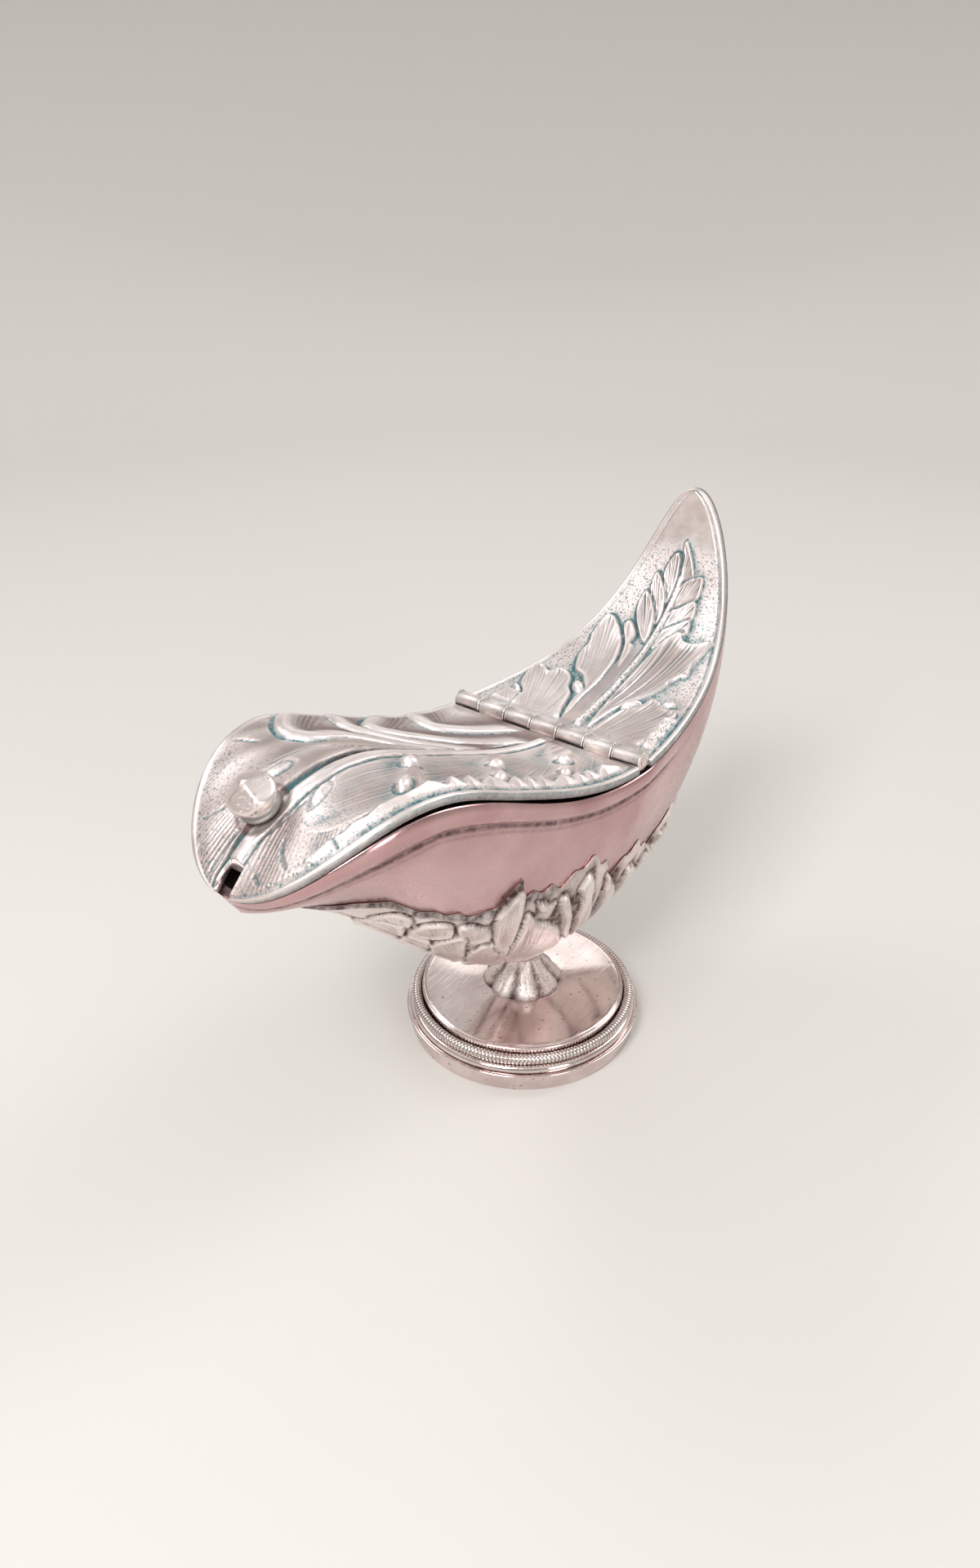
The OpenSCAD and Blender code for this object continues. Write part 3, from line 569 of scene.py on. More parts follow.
@dataclass(frozen=True)
class PlainBrass:
    """Turned brass left bare: yellow, a little dull, with brown blotches."""

    name: str = "turned_brass"
    light: str = "#c9a75f"
    brown: str = "#7d5f33"
    roughness: float = 0.32
    blotch_rough: float = 0.2
    blotch_mm: float = 3.0

    def make(self) -> bpy.types.Material:
        """Builds the node material.

        Returns:
            The material.
        """
        material, tree, shader = new_material(self.name)
        place = add(tree, "ShaderNodeTexCoord").outputs["Object"]
        blotch = add(tree, "ShaderNodeTexNoise",
                     {"Vector": place, "Scale": per_mm(self.blotch_mm), "Detail": 5.0}).outputs["Fac"]
        tone = add(tree, "ShaderNodeMapRange",
                   {"Value": blotch, "From Min": 0.4, "From Max": 0.68}).outputs[0]
        colour = add(tree, "ShaderNodeMix", {0: tone, 6: linear(self.light), 7: linear(self.brown)},
                     data_type="RGBA").outputs[2]
        tree.links.new(colour, shader.inputs["Base Color"])
        shader.inputs["Metallic"].default_value = 1.0
        rough = add(tree, "ShaderNodeMapRange",
                    {"Value": tone, "To Min": self.roughness,
                     "To Max": self.roughness + self.blotch_rough}).outputs[0]
        tree.links.new(rough, shader.inputs["Roughness"])
        return material


@dataclass(frozen=True)
class PaintedFloor:
    """Pale board with rolled matt paint, which gives the eye an even, dull ground."""

    name: str = "matt_paint"
    colour: str = "#cbc8c4"
    cloud_mm: float = 180.0
    roughness: Pair = (0.8, 0.95)

    def make(self) -> bpy.types.Material:
        """Builds the node material.

        Returns:
            The material.
        """
        material, tree, shader = new_material(self.name)
        place = add(tree, "ShaderNodeTexCoord").outputs["Object"]
        cloud = add(tree, "ShaderNodeTexNoise", {"Vector": place, "Scale": per_mm(self.cloud_mm)})
        rough = add(tree, "ShaderNodeMapRange",
                    {"Value": cloud.outputs["Fac"], "To Min": self.roughness[0],
                     "To Max": self.roughness[1]}).outputs[0]
        shader.inputs["Base Color"].default_value = linear(self.colour)
        tree.links.new(rough, shader.inputs["Roughness"])
        return material


def coat(obj: bpy.types.Object, material: bpy.types.Material) -> None:
    """Gives a mesh one finish all over."""
    obj.data.materials.clear()
    obj.data.materials.append(material)


def dress(obj: bpy.types.Object, material: bpy.types.Material, body: Body, slot: Slot,
          *nodes: str) -> bpy.types.Object:
    """Gives a piece its finish, body and the nodes it stands for.

    Args:
        obj: the piece.
        material: its finish.
        body: body that it rides on.
        slot: material slot of the record; not used.
        *nodes: frame nodes that it replaces.

    Returns:
        The piece.
    """
    coat(obj, material)
    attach(obj, body.value)
    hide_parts(*nodes)
    return obj


# Lines of the boat


@dataclass(frozen=True)
class BoatLines:
    """Curves that hull, lid, deck and calyx share; millimetres, stations -1 bow to 1 stern."""

    bow_sheer: Outline = ((11, 84.4), (-43.25, 84.4), (-58.9, 129.4), (-95.8, 92))
    stern_sheer: Outline = ((11, 84.4), (42, 84.4), (74.88, 87.88), (77.4, 133.4))
    bow_keel: Outline = ((0, 25), (-31.1, 25), (-60.4, 83.5), (-92.8, 87))
    stern_keel: Outline = ((0, 25), (60, 25), (79, 64), (80.4, 126.9))
    half_beam: float = 29.5
    bow_round: float = 5.26
    stern_taper: Pair = (1.11, 0.49)
    section_power: Pair = (1.7, 2.3)
    section_grow: float = 1.5
    bow_end: float = -0.99995
    stern_end: float = 0.9998
    run_steps: int = 2001

    @staticmethod
    def both_ways(bow: Outline, stern: Outline, t: Array) -> Array:
        """Line seen from the side: one Bezier curve from its middle to the bow, one to the stern.

        Args:
            bow: guides of the curve to the bow.
            stern: guides of the curve to the stern.
            t: stations.

        Returns:
            Points (x, z).
        """
        t = np.asarray(t, float)
        ahead = bezier(bow, np.clip(-t, 0, 1))
        return np.where((t < 0)[..., None], ahead, bezier(stern, np.clip(t, 0, 1)))

    def sheer(self, t: Array) -> Array:
        """Rim seen from the side, as (x, z)."""
        return self.both_ways(self.bow_sheer, self.stern_sheer, t)

    def keel(self, t: Array) -> Array:
        """Underside seen from the side, as (x, z)."""
        return self.both_ways(self.bow_keel, self.stern_keel, t)

    @staticmethod
    def left_of(curve: Callable[[Array], Array], t: Array, step: float = 1e-3) -> Array:
        """Normal to the left of a curve, by its slope between two near stations.

        Args:
            curve: gives points (x, z) at stations.
            t: stations.
            step: how far the near stations lie off.

        Returns:
            Unit normals (x, z).
        """
        d = curve(np.clip(t + step, -1, 1)) - curve(np.clip(t - step, -1, 1))
        n = np.stack([-d[..., 1], d[..., 0]], -1)
        return n / np.linalg.norm(n, axis=-1, keepdims=True)

    def breadth(self, t: Array) -> Array:
        """Half breadth: a rounded power curve to the bow, a tapering one to the stern.

        Args:
            t: stations.

        Returns:
            Half breadths of the rim.
        """
        t = np.asarray(t, float)
        run = self.bow_sheer[0][0] - self.bow_sheer[3][0]
        share = np.clip((self.bow_sheer[0][0] - self.sheer(t)[..., 0]) / run, 0, 1)
        bow = np.sqrt(1 - share**self.bow_round)
        stern = np.maximum(1 - np.clip(t, 0, 1) ** self.stern_taper[0], 0) ** self.stern_taper[1]
        return self.half_beam * np.where(t < 0, bow, stern)

    def power(self, t: Array) -> Array:
        """Power of the section's rounded form, fuller to the stern."""
        share = np.where(t < 0, 0.0, np.abs(t) ** self.section_grow)
        return mix(self.section_power[0], self.section_power[1], share)

    @staticmethod
    def section(low: Array, high: Array, half: Array, power: Array, s: Array) -> Array:
        """Section from rim over keel to rim: |y|/half = sin(a)^(2/n), rise = 1 - cos(a)^(2/n).

        Args:
            low: points (x, z) at the keel.
            high: points (x, z) at the rim.
            half: half breadths.
            power: powers n of the rounded form.
            s: places from -1 at the right rim to 1 at the left rim; a is a quarter turn times |s|.

        Returns:
            Points of the section.
        """
        a = 0.5 * np.pi * np.abs(s)
        e = 2.0 / power
        rise = 1.0 - np.maximum(np.cos(a), 0) ** e
        p = mix(low, high, rise[..., None])
        return np.stack([p[..., 0], np.sign(s) * half * np.sin(a) ** e, p[..., 1]], -1)

    def outer(self, t: Array, s: Array) -> Array:
        """Point of the smooth outside, s from -1 at the right rim to 1 at the left rim."""
        return self.section(self.keel(t), self.sheer(t), self.breadth(t), self.power(t), s)

    def outer_normal(self, t: Array, s: Array, step: float = 0.006) -> Array:
        """Outward normal, from the cross product of the slopes along both parameters.

        Args:
            t: stations.
            s: places on the section.
            step: how far the neighbours lie off.

        Returns:
            Unit normals.
        """
        ds = self.outer(t, np.minimum(s + step, 1)) - self.outer(t, np.maximum(s - step, -1))
        dt = self.outer(np.minimum(t + step, 1), s) - self.outer(np.maximum(t - step, -1), s)
        n = np.cross(ds, dt)
        return n / np.maximum(np.linalg.norm(n, axis=-1, keepdims=True), 1e-9)

    def rim_run(self, end: float) -> Tuple[Array, Array, Array]:
        """Walks along the rim from its lowest point to one end.

        Args:
            end: last station.

        Returns:
            Stations, the x of the rim there, and its running length.
        """
        t = np.linspace(0, end, self.run_steps)
        p = self.sheer(t)
        return t, p[:, 0], np.r_[0, np.cumsum(np.linalg.norm(np.diff(p, axis=0), axis=1))]

    def stations(self, lengths: Array, end: float) -> Array:
        """Stations at running lengths of the rim from its lowest point towards one end."""
        t, _, run = self.rim_run(end)
        return np.interp(lengths, run, t)

    def length_at_x(self, x: float, end: float) -> float:
        """Running length of the rim to the place x, on the stretch where x still changes steadily.

        Args:
            x: place along the boat.
            end: station of the end that it lies towards.

        Returns:
            The length from the rim's lowest point.
        """
        _, along, run = self.rim_run(0.8 * end)
        order = np.argsort(along)
        return float(np.interp(x, along[order], run[order]))

    def full_length(self, end: float) -> float:
        """Running length of the rim from its lowest point to one end."""
        return float(self.rim_run(end)[2][-1])


# Leaves


@dataclass
class Relief:
    """Heights of a leaf, and the painted brown shade on it, at places along and across its plate, in mm."""

    u: Array
    v: Array
    h: Array
    tone: Array

    @classmethod
    def flat(cls, u: Array, v: Array, level: float = 0.0) -> "Relief":
        """Plain ground at one level."""
        return cls(u, v, np.full(u.shape, float(level)), np.zeros(u.shape))


@dataclass(frozen=True)
class Stroke:
    """A bent line on a plate, drawn through points (along, across) in mm from the hinge's middle."""

    points: Outline
    steps: int = 8
    run_on: float = 9.0

    def measure(self, u: Array, v: Array) -> Tuple[Array, Array]:
        """Share along the line and distance from it, by the nearest of its chords.

        The first and the last chord run on past their ends, by some times their length.

        Args:
            u: places along.
            v: places across.

        Returns:
            Share from 0 to 1, and distance, positive on the left of the line.
        """
        pts = spline(self.points, self.steps, closed=False)
        seg = np.diff(pts, axis=0)
        size = np.linalg.norm(seg, axis=1)
        run = np.r_[0, np.cumsum(size)]
        best = np.full(u.shape, np.inf)
        share, side = np.zeros(u.shape), np.zeros(u.shape)
        for i, (d, length) in enumerate(zip(seg, size)):
            du, dv = u - pts[i, 0], v - pts[i, 1]
            low = -self.run_on if i == 0 else 0.0
            high = self.run_on if i == len(seg) - 1 else 1.0
            q = np.clip((du * d[0] + dv * d[1]) / length**2, low, high)
            gap = np.hypot(du - q * d[0], dv - q * d[1])
            near = gap < best
            best = np.where(near, gap, best)
            share = np.where(near, (run[i] + q * length) / run[-1], share)
            side = np.where(near, np.sign(d[0] * dv - d[1] * du) * gap, side)
        return share, side

    def cut(self, r: Relief, half_w: float, deep: float) -> None:
        """Cuts a furrow along the line, shallow at both ends."""
        share, side = self.measure(r.u, r.v)
        r.h = r.h - deep * hill(side, half_w) * ease(share, -0.05, 0.15) * (1 - ease(share, 0.85, 1.05))


@dataclass(frozen=True)
class Petal:
    """A part of the leaf inside a closed outline.

    Its edge steps up to the rim's height; from there it sinks into a scoop, as a quarter round over
    the reach, and rises from its root to its tip. Furrows fan out from the root.
    """

    outline: Outline
    root: Pair
    rim: float = 1.25
    scoop: float = 0.45
    reach: float = 3.5
    low: float = 0.55
    pitch: float = 1.1
    furrow_h: float = 0.05
    groove: float = 0.35
    step: float = 0.7
    # Amount of painted brown shade in the scoop
    tone: float = 0.18
    groove_out: float = 0.35
    groove_half: float = 0.6
    steps: int = 6
    margin: float = 2.0

    def depth(self, u: Array, v: Array) -> Array:
        """Distance to the outline; inside is where a ray crosses it an odd number of times.

        Args:
            u: places along.
            v: places across.

        Returns:
            The distance, positive inside.
        """
        pts = spline(self.outline, self.steps, closed=True)
        best = np.full(u.shape, np.inf)
        odd = np.zeros(u.shape, bool)
        for (au, av), (bu, bv) in zip(pts, np.roll(pts, -1, 0)):
            du, dv = bu - au, bv - av
            k = np.clip(((u - au) * du + (v - av) * dv) / max(du * du + dv * dv, 1e-9), 0, 1)
            best = np.minimum(best, np.hypot(u - au - k * du, v - av - k * dv))
            if dv:
                odd ^= ((av > v) != (bv > v)) & (u < au + (v - av) * du / dv)
        return np.where(odd, best, -best)

    def paint(self, r: Relief) -> None:
        """Lays the petal over the relief.

        Args:
            r: the relief that takes it.
        """
        pts = np.asarray(self.outline, float)
        low, high = pts.min(0) - self.margin, pts.max(0) + self.margin
        near = (r.u > low[0]) & (r.u < high[0]) & (r.v > low[1]) & (r.v < high[1])
        if not near.any():
            return
        u, v = r.u[near], r.v[near]
        d = self.depth(u, v)
        du, dv = u - self.root[0], v - self.root[1]
        far = np.hypot(pts[:, 0] - self.root[0], pts[:, 1] - self.root[1]).max()
        run, turn = np.hypot(du, dv) / far, np.arctan2(dv, du) * far / self.pitch
        climb = mix(self.low, 1.0, ease(run, 0.15, 0.85))
        sunk = 1 - (1 - np.clip(d / self.reach, 0, 1)) ** 2
        hairs = hair_lines(2 * np.pi * turn + 1.1 * np.sin(2.3 * turn), 1.7 * turn + 5 * run)
        off_edge = ease(d, 0.2, 1.2)
        top = climb * (self.rim - self.scoop * sunk) + self.furrow_h * hairs * off_edge * ease(run, 0.1, 0.4)
        inside = ease(d, -0.05, self.step)
        r.h[near] = mix(r.h[near], top, inside) - self.groove * hill(d + self.groove_out, self.groove_half)
        # Painted shade: brown in the scoop, darker in the furrows and towards the tip
        shade = self.tone * sunk * (0.7 - 0.6 * hairs * off_edge) * mix(0.3, 1.25, run)
        r.tone[near] = mix(r.tone[near], shade, inside)


@dataclass(frozen=True)
class Feather:
    """A leaf fold that lies over the next one: everything on one side of its rolled edge.

    Height rises over the edge as a quarter round, dips behind the roll into a scoop, and fine
    furrows run along it.
    """

    edge: Stroke
    height: float
    roll: float
    dip: float = 0.6
    dip_at: float = 6.5
    pitch: float = 1.0
    furrow_h: float = 0.07
    groove: float = 0.7
    groove_out: float = 0.4
    groove_half: float = 0.8

    def paint(self, r: Relief) -> None:
        """Lays the fold over the relief on the left side of its edge line.

        Args:
            r: the relief that takes it.
        """
        share, d = self.edge.measure(r.u, r.v)
        grow = mix(0.45, 1.0, ease(share, 0.0, 0.55))
        k = np.clip(d / (self.roll * grow), 0, 1)
        behind = ease(d, 0.8 * self.roll, self.dip_at)
        hairs = np.cos(2 * np.pi * d / (self.pitch * mix(0.6, 1.3, np.clip(share, 0, 1))) + np.sin(d))
        top = self.height * grow * half_round(1 - k) * (1 - self.dip * behind)
        top = top + self.furrow_h * hairs * ease(d, 1.2, 3.0)
        trench = self.groove * hill(d + self.groove_out, self.groove_half) * ease(share, 0.0, 0.1)
        r.h[...] = np.where(d > 0, top, r.h) - trench
        # Painted shade: brown in the dip behind the rolled edge, striped along the furrows
        shade = (0.75 + 0.2 * hairs) * behind * (1 - ease(d, self.dip_at, 2.4 * self.dip_at))
        r.tone[...] = np.where(d > 0, shade, r.tone)


@dataclass(frozen=True)
class Bead:
    """A round or long drop on the leaf: an eye, a berry or a curled tip."""

    at: Pair
    radius: float
    height: float
    stretch: float = 1.0
    turn_deg: float = 0.0
    groove: float = 0.35
    groove_at: float = 1.15
    groove_half: float = 0.6

    def paint(self, r: Relief) -> None:
        """Lays a dome over the relief: height times sqrt(1 - d^2), with a groove round it.

        Args:
            r: the relief that takes it.
        """
        a = np.radians(self.turn_deg)
        du, dv = r.u - self.at[0], r.v - self.at[1]
        x = (du * np.cos(a) + dv * np.sin(a)) / (self.radius * self.stretch)
        y = (-du * np.sin(a) + dv * np.cos(a)) / self.radius
        d = np.hypot(x, y)
        ring = self.groove * hill((d - self.groove_at) * self.radius, self.groove_half)
        r.h[...] = np.where(d < 1, np.maximum(r.h, self.height * half_round(d)), r.h - ring)
        # Painted shade is cleared from the dome
        r.tone[...] = r.tone * ease(d, 0.9, 1.1)


def petals_of(shapes: Sequence[Tuple[Outline, Pair]], sizes: Dict[str, float]) -> List[Petal]:
    """Petals of the same sizes, one for each outline and root."""
    return [Petal(outline, root, **sizes) for outline, root in shapes]


@dataclass
class LeafPlate:
    """A plate that follows the rim, with a leaf in relief on its upper face."""

    lines: BoatLines
    name: str = ""
    edge_x: float = 0.0
    stem_line: Outline = ()
    plate_t: float = 1.4
    edge_gap: float = 0.3
    columns: int = 225
    rows: int = 380
    under_columns: int = 9
    row_bunching: float = 0.25
    column_power: float = 0.94
    blur_mm: float = 1.5
    recess_mm: Pair = (0.25, 0.55)
    crest_mm: float = 0.2
    under_recess: float = 0.25
    # Painted brown shade on the plain underside
    under_painted_shade: float = 0.3
    under_grain: float = 0.7
    # Dirt with painted shade on the plain underside
    under_dirt_and_shade: float = 0.1

    def end(self) -> float:
        """Last station."""
        raise NotImplementedError

    def span(self) -> Pair:
        """Running lengths of the rim at the plate's hinge edge and at its tip."""
        return self.lines.length_at_x(self.edge_x, np.sign(self.end())), self.lines.full_length(self.end())

    def stem(self, u: Array) -> Array:
        """Across place of the leaf's stem."""
        return on_table(self.stem_line, u)

    def under(self, t: Array) -> Array:
        """Gap between rim and plate at the edges."""
        return np.full(np.shape(t), self.edge_gap)

    def relief(self, u: Array, v: Array, w: Array) -> Tuple[Relief, Array, Array]:
        """Leaf with its painted brown shade, granular ground, and dirt with painted shade at places on the
        plate.
        """
        raise NotImplementedError

    def on_rim(self, t: Array, h: Array, y: Array) -> Array:
        """Point over the rim's curve, along its normal.

        Args:
            t: stations.
            h: heights over the curve.
            y: places across.

        Returns:
            The points.
        """
        p, n = self.lines.sheer(t), BoatLines.left_of(self.lines.sheer, t)
        h, y = np.broadcast_arrays(h, y)
        return np.stack([p[..., 0] + n[..., 0] * h, y, p[..., 1] + n[..., 1] * h], -1)

    def surface(self) -> Surface:
        """Loft of closed loops: the carved top, then the plain underside back, with fans at both ends.

        Returns:
            The closed plate with recess, crest, painted brown shade, grain, and dirt with painted shade at
            its vertices.
        """
        first, last = self.span()
        k = np.linspace(0, 1, self.rows)
        u = mix(first, last, mix(k, np.sin(0.5 * np.pi * k), self.row_bunching))[:, None]
        t = self.lines.stations(u, self.end())
        w = self.lines.breadth(t)
        s = np.linspace(-1, 1, self.columns)[None, :]
        v = np.sign(s) * np.abs(s) ** self.column_power * w
        leaf, grain, dirt_and_shade = self.relief(np.broadcast_to(u, v.shape), v, np.broadcast_to(w, v.shape))
        top = self.on_rim(t, self.under(t) + self.plate_t + leaf.h, v)
        lower = self.on_rim(t, self.under(t), np.linspace(1, -1, self.under_columns)[None, :] * w)
        loops = np.concatenate([top, lower], 1)
        surface = Surface.from_grid(loops, wrap_cols=True)
        surface.close_ends(self.rows, loops.shape[1], self.columns + self.under_columns // 2)
        recess, crest = self.hollows(leaf.h, (last - first) / self.rows)
        surface.values = with_back({
            "recess": (recess, self.under_recess), "crest": (crest, 0.0),
            # Painted brown shade on the leaf and on the underside
            "tone": (np.clip(leaf.tone, 0, 1), self.under_painted_shade),
            "grain": (grain, self.under_grain), "dirt_and_shade": (dirt_and_shade, self.under_dirt_and_shade)}, self.under_columns)
        return surface

    def hollows(self, h: Array, cell: float) -> Tuple[Array, Array]:
        """Tells recesses and crests by how far a place lies under or over its surroundings.

        Args:
            h: heights on the grid.
            cell: length of a grid cell.

        Returns:
            Shares of recess and crest.
        """
        near = box_blur(h, max(1, int(self.blur_mm / cell / 2)))
        wide = box_blur(h, max(1, int(2.2 * self.blur_mm / cell)))
        deep = np.maximum((near - h) / self.recess_mm[0], (wide - h) / self.recess_mm[1] - 0.1)
        return np.clip(deep, 0, 1), np.clip((h - near) / self.crest_mm, 0, 1)


@dataclass
class Lid(LeafPlate):
    """Lid over the bow half: a leaf with a ribbed stem, overlapping folds on the left, scooped lobes
    with berries and a crinkled margin on the right, a furrowed bow field and a notch for a spoon."""

    name: str = "lid_leaf"
    edge_x: float = 5.95
    stem_line: Outline = ((6, -3.3), (28, -2.9), (41, -2.5), (55, -2.7), (70, -3.4), (79, -3.4), (87, -2.7),
                          (95, -1.4), (103, 0.2), (112, 0.8))
    spring: float = 0.7
    spring_at: Pair = (-0.27, -0.68)
    spring_half: float = 0.26
    notch: Pair = (4.6, 3.9)
    notch_z: Pair = (-8.0, 22.0)
    level: float = 0.85
    hinge_flat: Pair = (6.0, 10.0)
    field_root: Pair = (56.0, 0.5)
    field_from: Pair = (86.0, 100.0)
    field_grain: Pair = (80.0, 96.0)
    field_fold_mm: float = 9.5
    pad_r: Pair = (4.5, 7.0)
    pad_h: float = 0.3
    pad_shade_and_dirt: Pair = (5.6, 0.7)
    vein: Pair = (0.6, 0.5)
    rib_half: Pair = (1.15, 1.75)
    rib_h: float = 1.3
    rib_fall: float = 0.35
    channel_w: Pair = (2.6, 2.2)
    channel_h: float = -0.45
    channel_shade_and_dirt: Pair = (74.0, 92.0)
    margin_w: Pair = (4.6, 4.2)
    margin_h: float = 2.3
    margin_fold_mm: float = 6.6
    edge_bead: Pair = (0.15, 0.5)

    def end(self) -> float:
        """Last station, at the bow."""
        return self.lines.bow_end

    def under(self, t: Array) -> Array:
        """Gap to the rim, widest over two stretches where the lid springs up."""
        return self.edge_gap + self.spring * sum(hill(t - at, self.spring_half) for at in self.spring_at)

    def relief(self, u: Array, v: Array, w: Array) -> Tuple[Relief, Array, Array]:
        """Paints the leaf from the ground up.

        Args:
            u: places along.
            v: places across.
            w: half breadths of the plate.

        Returns:
            The leaf with its painted brown shade, its granular ground, and its dirt with painted shade.
        """
        edge = w - np.abs(v)
        left, right = self.bow_field(u, v), self.bow_field(u, v)
        right.h = mix(self.level * ease(edge, 3.0, 8.0) + 0.1, right.h, ease(u, *self.field_from))
        for fold in self.folds():
            fold.paint(left)
        for dish in self.dishes():
            dish.paint(right)
        near = v < self.stem(u)
        r = Relief(u, v, np.where(near, right.h, left.h), np.where(near, right.tone, left.tone))
        self.margin(r, w)
        for bead in self.berries():
            bead.paint(r)
        channel = self.rib(r)
        for line in self.veins():
            line.cut(r, *self.vein)
        pad = np.hypot(u - KNOB_AT[0], v - KNOB_AT[1])
        r.h = mix(self.pad_h, r.h, ease(pad, *self.pad_r))
        self.border(r, edge, near)
        field_share = ease(u, *self.field_grain) * (1 - hill(v - self.stem(u), 2.2))
        rim = 0.8 * hill(edge - 2.2, 1.5) * near + 0.5 * hill(edge - 3.5, 3.5) * ~near
        grain = np.clip((0.7 * field_share + rim) * ease(edge, 1.0, 2.2), 0, 1)
        # Painted brown shade: less on the right margin, more in the channel beside the rib, none at the edge
        r.tone = np.clip(r.tone * (1 - 0.8 * rim * near) + 0.55 * channel, 0, 1) * ease(edge, 1.0, 2.5)
        # Dirt with painted shade in the channel, fading to the bow, and in a ring round the knob's pad
        dark_ring_at, dark_ring_half = self.pad_shade_and_dirt
        dirt_and_shade = 0.95 * channel * (1 - ease(u, *self.channel_shade_and_dirt)) + 0.5 * hill(pad - dark_ring_at, dark_ring_half)
        return r, grain, np.clip(dirt_and_shade, 0, 1)

    def border(self, r: Relief, edge: Array, near: Array) -> None:
        """Lets the leaf run out to the hinge and the edge, and lays a bead along the edge.

        Args:
            r: the relief that takes it.
            edge: distances from the plate's edge.
            near: which places lie on the right of the stem.
        """
        left = r.v > 0
        fall = mix(0.35 * (1 - ease(r.u, 78, 84)), 1.0, ease(edge, 0.2, 6.5))
        r.h = r.h * ease(r.u, *self.hinge_flat) * np.where(left, fall, ease(edge, 1.4, 3.0))
        bead = np.where(left, *self.edge_bead) * hill(edge - 0.75, 1.0)
        r.h = r.h + bead - 0.3 * hill(edge - 2.4, 0.9) * near

    def bow_field(self, u: Array, v: Array) -> Relief:
        """Bow part: hair lines and broad folds that fan out from a root on the stem, by angle.

        Args:
            u: places along.
            v: places across.

        Returns:
            The field's relief.
        """
        turn = np.arctan2(v - self.field_root[1], np.maximum(u - self.field_root[0], 1.0)) * 45.0
        folds = np.cos(2 * np.pi * turn / self.field_fold_mm + 0.6 * np.sin(u / 7))
        hairs = hair_lines(2 * np.pi * turn / 0.85 + 1.3 * np.sin(turn * 0.8), turn / 2.1 + u / 6)
        r = Relief.flat(u, v, 0.55)
        r.h += 0.22 * folds * ease(u, 70, 92) + 0.05 * hairs
        # Painted brown shade in the folds' troughs and between the hair lines
        r.tone += np.clip(0.34 - 0.22 * hairs - 0.12 * folds, 0, 1)
        return r

    def rib(self, r: Relief) -> Array:
        """Stem: a round bar, broader to the bow, with a flat channel on its left.

        Args:
            r: the relief that takes it.

        Returns:
            The channel's share at each place.
        """
        u, x = r.u, r.v - self.stem(r.u)
        half = mix(*self.rib_half, ease(u, 45, 88))
        wide = mix(*self.channel_w, ease(u, 66, 84)) * ease(u, 10, 20) * (1 - 0.6 * ease(u, 96, 112))
        channel = ease(x, half - 0.2, half + 0.2) * (1 - ease(x - half - wide, -0.3, 0.3))
        r.h = mix(r.h, self.channel_h, channel)
        bar = half_round(x / half) ** 0.8
        ridge = (self.rib_h - self.rib_fall * ease(u, 80, 112)) * bar
        ridge = ridge - 0.2 * hill(x + 0.4 * half, 0.3) * ease(u, 66, 84)
        on = np.abs(x) < half
        r.h = np.where(on, np.maximum(r.h, ridge), r.h) - 0.6 * hill(x + half + 0.4, 0.7)
        # Painted brown shade: none on the bar, dark in the groove along its right side
        r.tone = np.where(on, 0, np.maximum(r.tone, 0.7 * hill(x + half + 0.3, 0.5)))
        return channel

    def folds(self) -> List[Feather]:
        """Folds on the left from the bow to the hinge; each lies over the one before.

        Returns:
            The folds, from their edge lines, heights and rolls.
        """
        edges = (
            (((55, 3.5), (66.8, 8.3), (76.5, 8.9), (80.2, 13.5), (79.5, 18.5), (76, 23),
              (69, 30)), 1.5, 2.4),
            (((45, 4.5), (55, 9.5), (60, 14.5), (60.5, 19.5), (57.5, 25), (54, 31)), 1.4, 2.2),
            (((29, 5.0), (39.5, 9.2), (46, 10.8), (51.6, 13.4), (52.8, 17.2), (51, 20.8), (45, 25),
              (37, 31)), 1.5, 2.4),
            (((6, 4.6), (15, 8.6), (23.6, 12.6), (28, 16.4), (28.8, 20), (27, 25), (23.5, 31)), 1.5, 2.6))
        return [Feather(Stroke(line), height, roll) for line, height, roll in edges]

    def dishes(self) -> List[Petal]:
        """Scooped hollows on the right, from the bow to the hinge.

        Returns:
            The hollows, from their outlines, roots and amounts of painted brown shade.
        """
        cup = dict(rim=self.level, scoop=1.0, reach=5.0, low=1.0, groove=0.0, step=0.3, furrow_h=0.06,
                   pitch=1.3)
        # Each hollow: its outline, root and the amount of painted brown shade in its scoop
        shapes = (
            (((66, -4.6), (73.8, -5), (80.8, -5.6), (86.6, -6.6), (90.7, -8.6), (95.5, -8.2),
              (97.6, -10.3), (96.6, -13.6), (93.4, -16.8), (89, -19.4), (85, -21.4), (81, -20),
              (74.9, -14.9), (68, -8.6)), (104, -4), 0.5),
            (((57.6, -4.8), (46, -4.6), (35.5, -5), (40, -8.6), (44.5, -13), (51.4, -18.6), (60, -21.6),
              (70, -22.2), (76.5, -21.4), (72.5, -15.6), (66, -9)), (30, -6), 0.75),
            (((29, -5), (18, -5), (10, -5.6), (14.6, -10), (20.2, -15.6), (27, -20), (38, -22),
              (47, -21.8), (45, -17.2), (38.6, -10)), (4, -6), 0.55),
            (((6, -8), (10, -12.6), (15, -17.6), (22, -21.6), (18, -23.4), (6, -23)), (-6, -10), 0.45))
        return [Petal(outline, root, tone=tone, **cup) for outline, root, tone in shapes]

